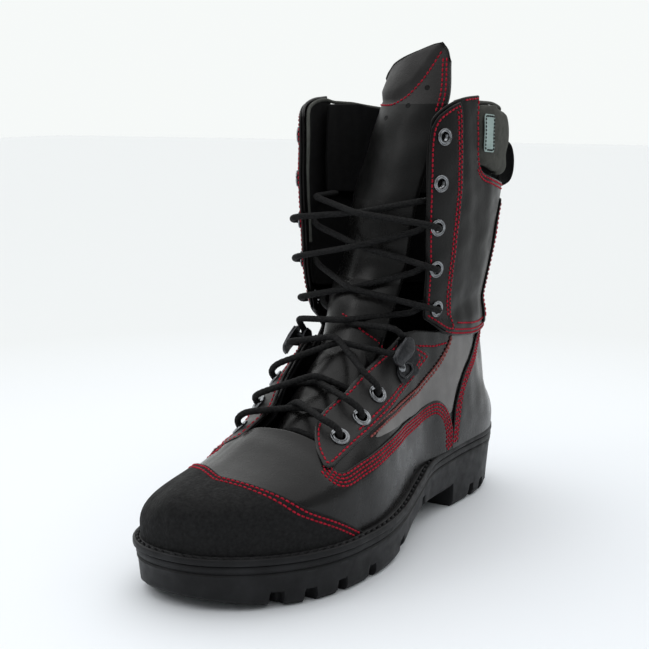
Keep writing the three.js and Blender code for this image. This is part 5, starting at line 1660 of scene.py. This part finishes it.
def add_floor():
    mesh = bpy.data.meshes.new("floor")
    corners = [(-FLOOR_HALF, -FLOOR_HALF, 0), (FLOOR_HALF, -FLOOR_HALF, 0), (FLOOR_HALF, FLOOR_HALF, 0),
               (-FLOOR_HALF, FLOOR_HALF, 0)]
    mesh.from_pydata(corners, [], [(0, 1, 2, 3)])
    floor = bpy.data.objects.new("floor", mesh)
    look = Look("floor")
    apart = look.node("ShaderNodeVectorMath", {0: look.place}, operation="LENGTH").outputs["Value"]
    # painted light falloff: the floor's colour turns greyer with distance from the boot
    look.set("Base Color", look.mix(look.ramp(apart, *FLOOR_FADE), FLOOR_NEAR, FLOOR_FAR))
    look.set("Roughness", 1.0)
    look.set("Specular IOR Level", 0.0)
    mesh.materials.append(look.material)
    bpy.context.scene.collection.objects.link(floor)


def add_world():
    """Soft studio surround, brighter on one side."""
    world = bpy.data.worlds.new("studio")
    world.use_nodes = True
    tree = world.node_tree
    way = tree.nodes.new("ShaderNodeVectorMath")
    way.operation = "DOT_PRODUCT"
    way.inputs[1].default_value = WORLD_WAY
    tree.links.new(tree.nodes.new("ShaderNodeTexCoord").outputs["Generated"], way.inputs[0])
    share = tree.nodes.new("ShaderNodeMapRange")
    share.interpolation_type = "SMOOTHSTEP"
    share.inputs["From Min"].default_value, share.inputs["From Max"].default_value = WORLD_FADE
    tree.links.new(way.outputs["Value"], share.inputs["Value"])
    tone = tree.nodes.new("ShaderNodeMix")
    tone.data_type = "RGBA"
    tone.inputs[6].default_value = WORLD_DARK
    tone.inputs[7].default_value = WORLD_BRIGHT
    tree.links.new(share.outputs["Result"], tone.inputs[0])
    tree.links.new(tone.outputs[2], tree.nodes["Background"].inputs["Color"])
    bpy.context.scene.world = world


def add_lights():
    for name, kind, at, size, power in LIGHTS:
        data = bpy.data.lights.new(name, kind)
        data.energy = power
        if kind == "SUN":
            data.angle = size
        else:
            data.shape = "DISK"
            data.size = size
        light = bpy.data.objects.new(name, data)
        light.location = at
        light.rotation_mode = "QUATERNION"
        light.rotation_quaternion = (Vector(LIT_POINT) - Vector(at)).to_track_quat("-Z", "Y")
        bpy.context.scene.collection.objects.link(light)


STITCHED = [("foot_stitches", "red_foot", RED, "ankle"), ("toe_stitches", "red_toe", RED, "foot"),
            ("shaft_stitches", "red_shaft", RED, "ankle"), ("tongue_stitches", "red_tongue", RED, "fold"),
            ("wedge_stitches", "pale", PALE, "ankle"), ("gusset_stitches", "gusset", RED, "ankle"),
            ("patch_stitches", "dark_shaft", DARK_THREAD_AND_HOLE_SHADE, "shaft"),
            ("loop_stitches", "dark_loop", DARK_THREAD_AND_HOLE_SHADE, "pull_loop")]

add_foot_upper()
add_lower_facings()
add_toe_guard()
add_foot_lining()
add_shaft()
add_collar()
add_pull_loop()
outline_points, outline_normals = sole_outline()
add_sole_unit(outline_points, outline_normals)
add_welt(outline_points, outline_normals)
tongue_face, tongue_normals = add_tongue()
add_perforations(tongue_face, tongue_normals)
add_eyelets()
add_hooks()
print("lace length", add_lace())
add_wedge()
add_gusset_rows(tongue_face, tongue_normals)
for name, group, thread, where in STITCHED:
    place(stitch_mesh(name, group, thread), where, None)
dress_hidden_nodes()
add_floor()
add_world()
add_lights()
bpy.context.scene.view_settings.view_transform = "Standard"
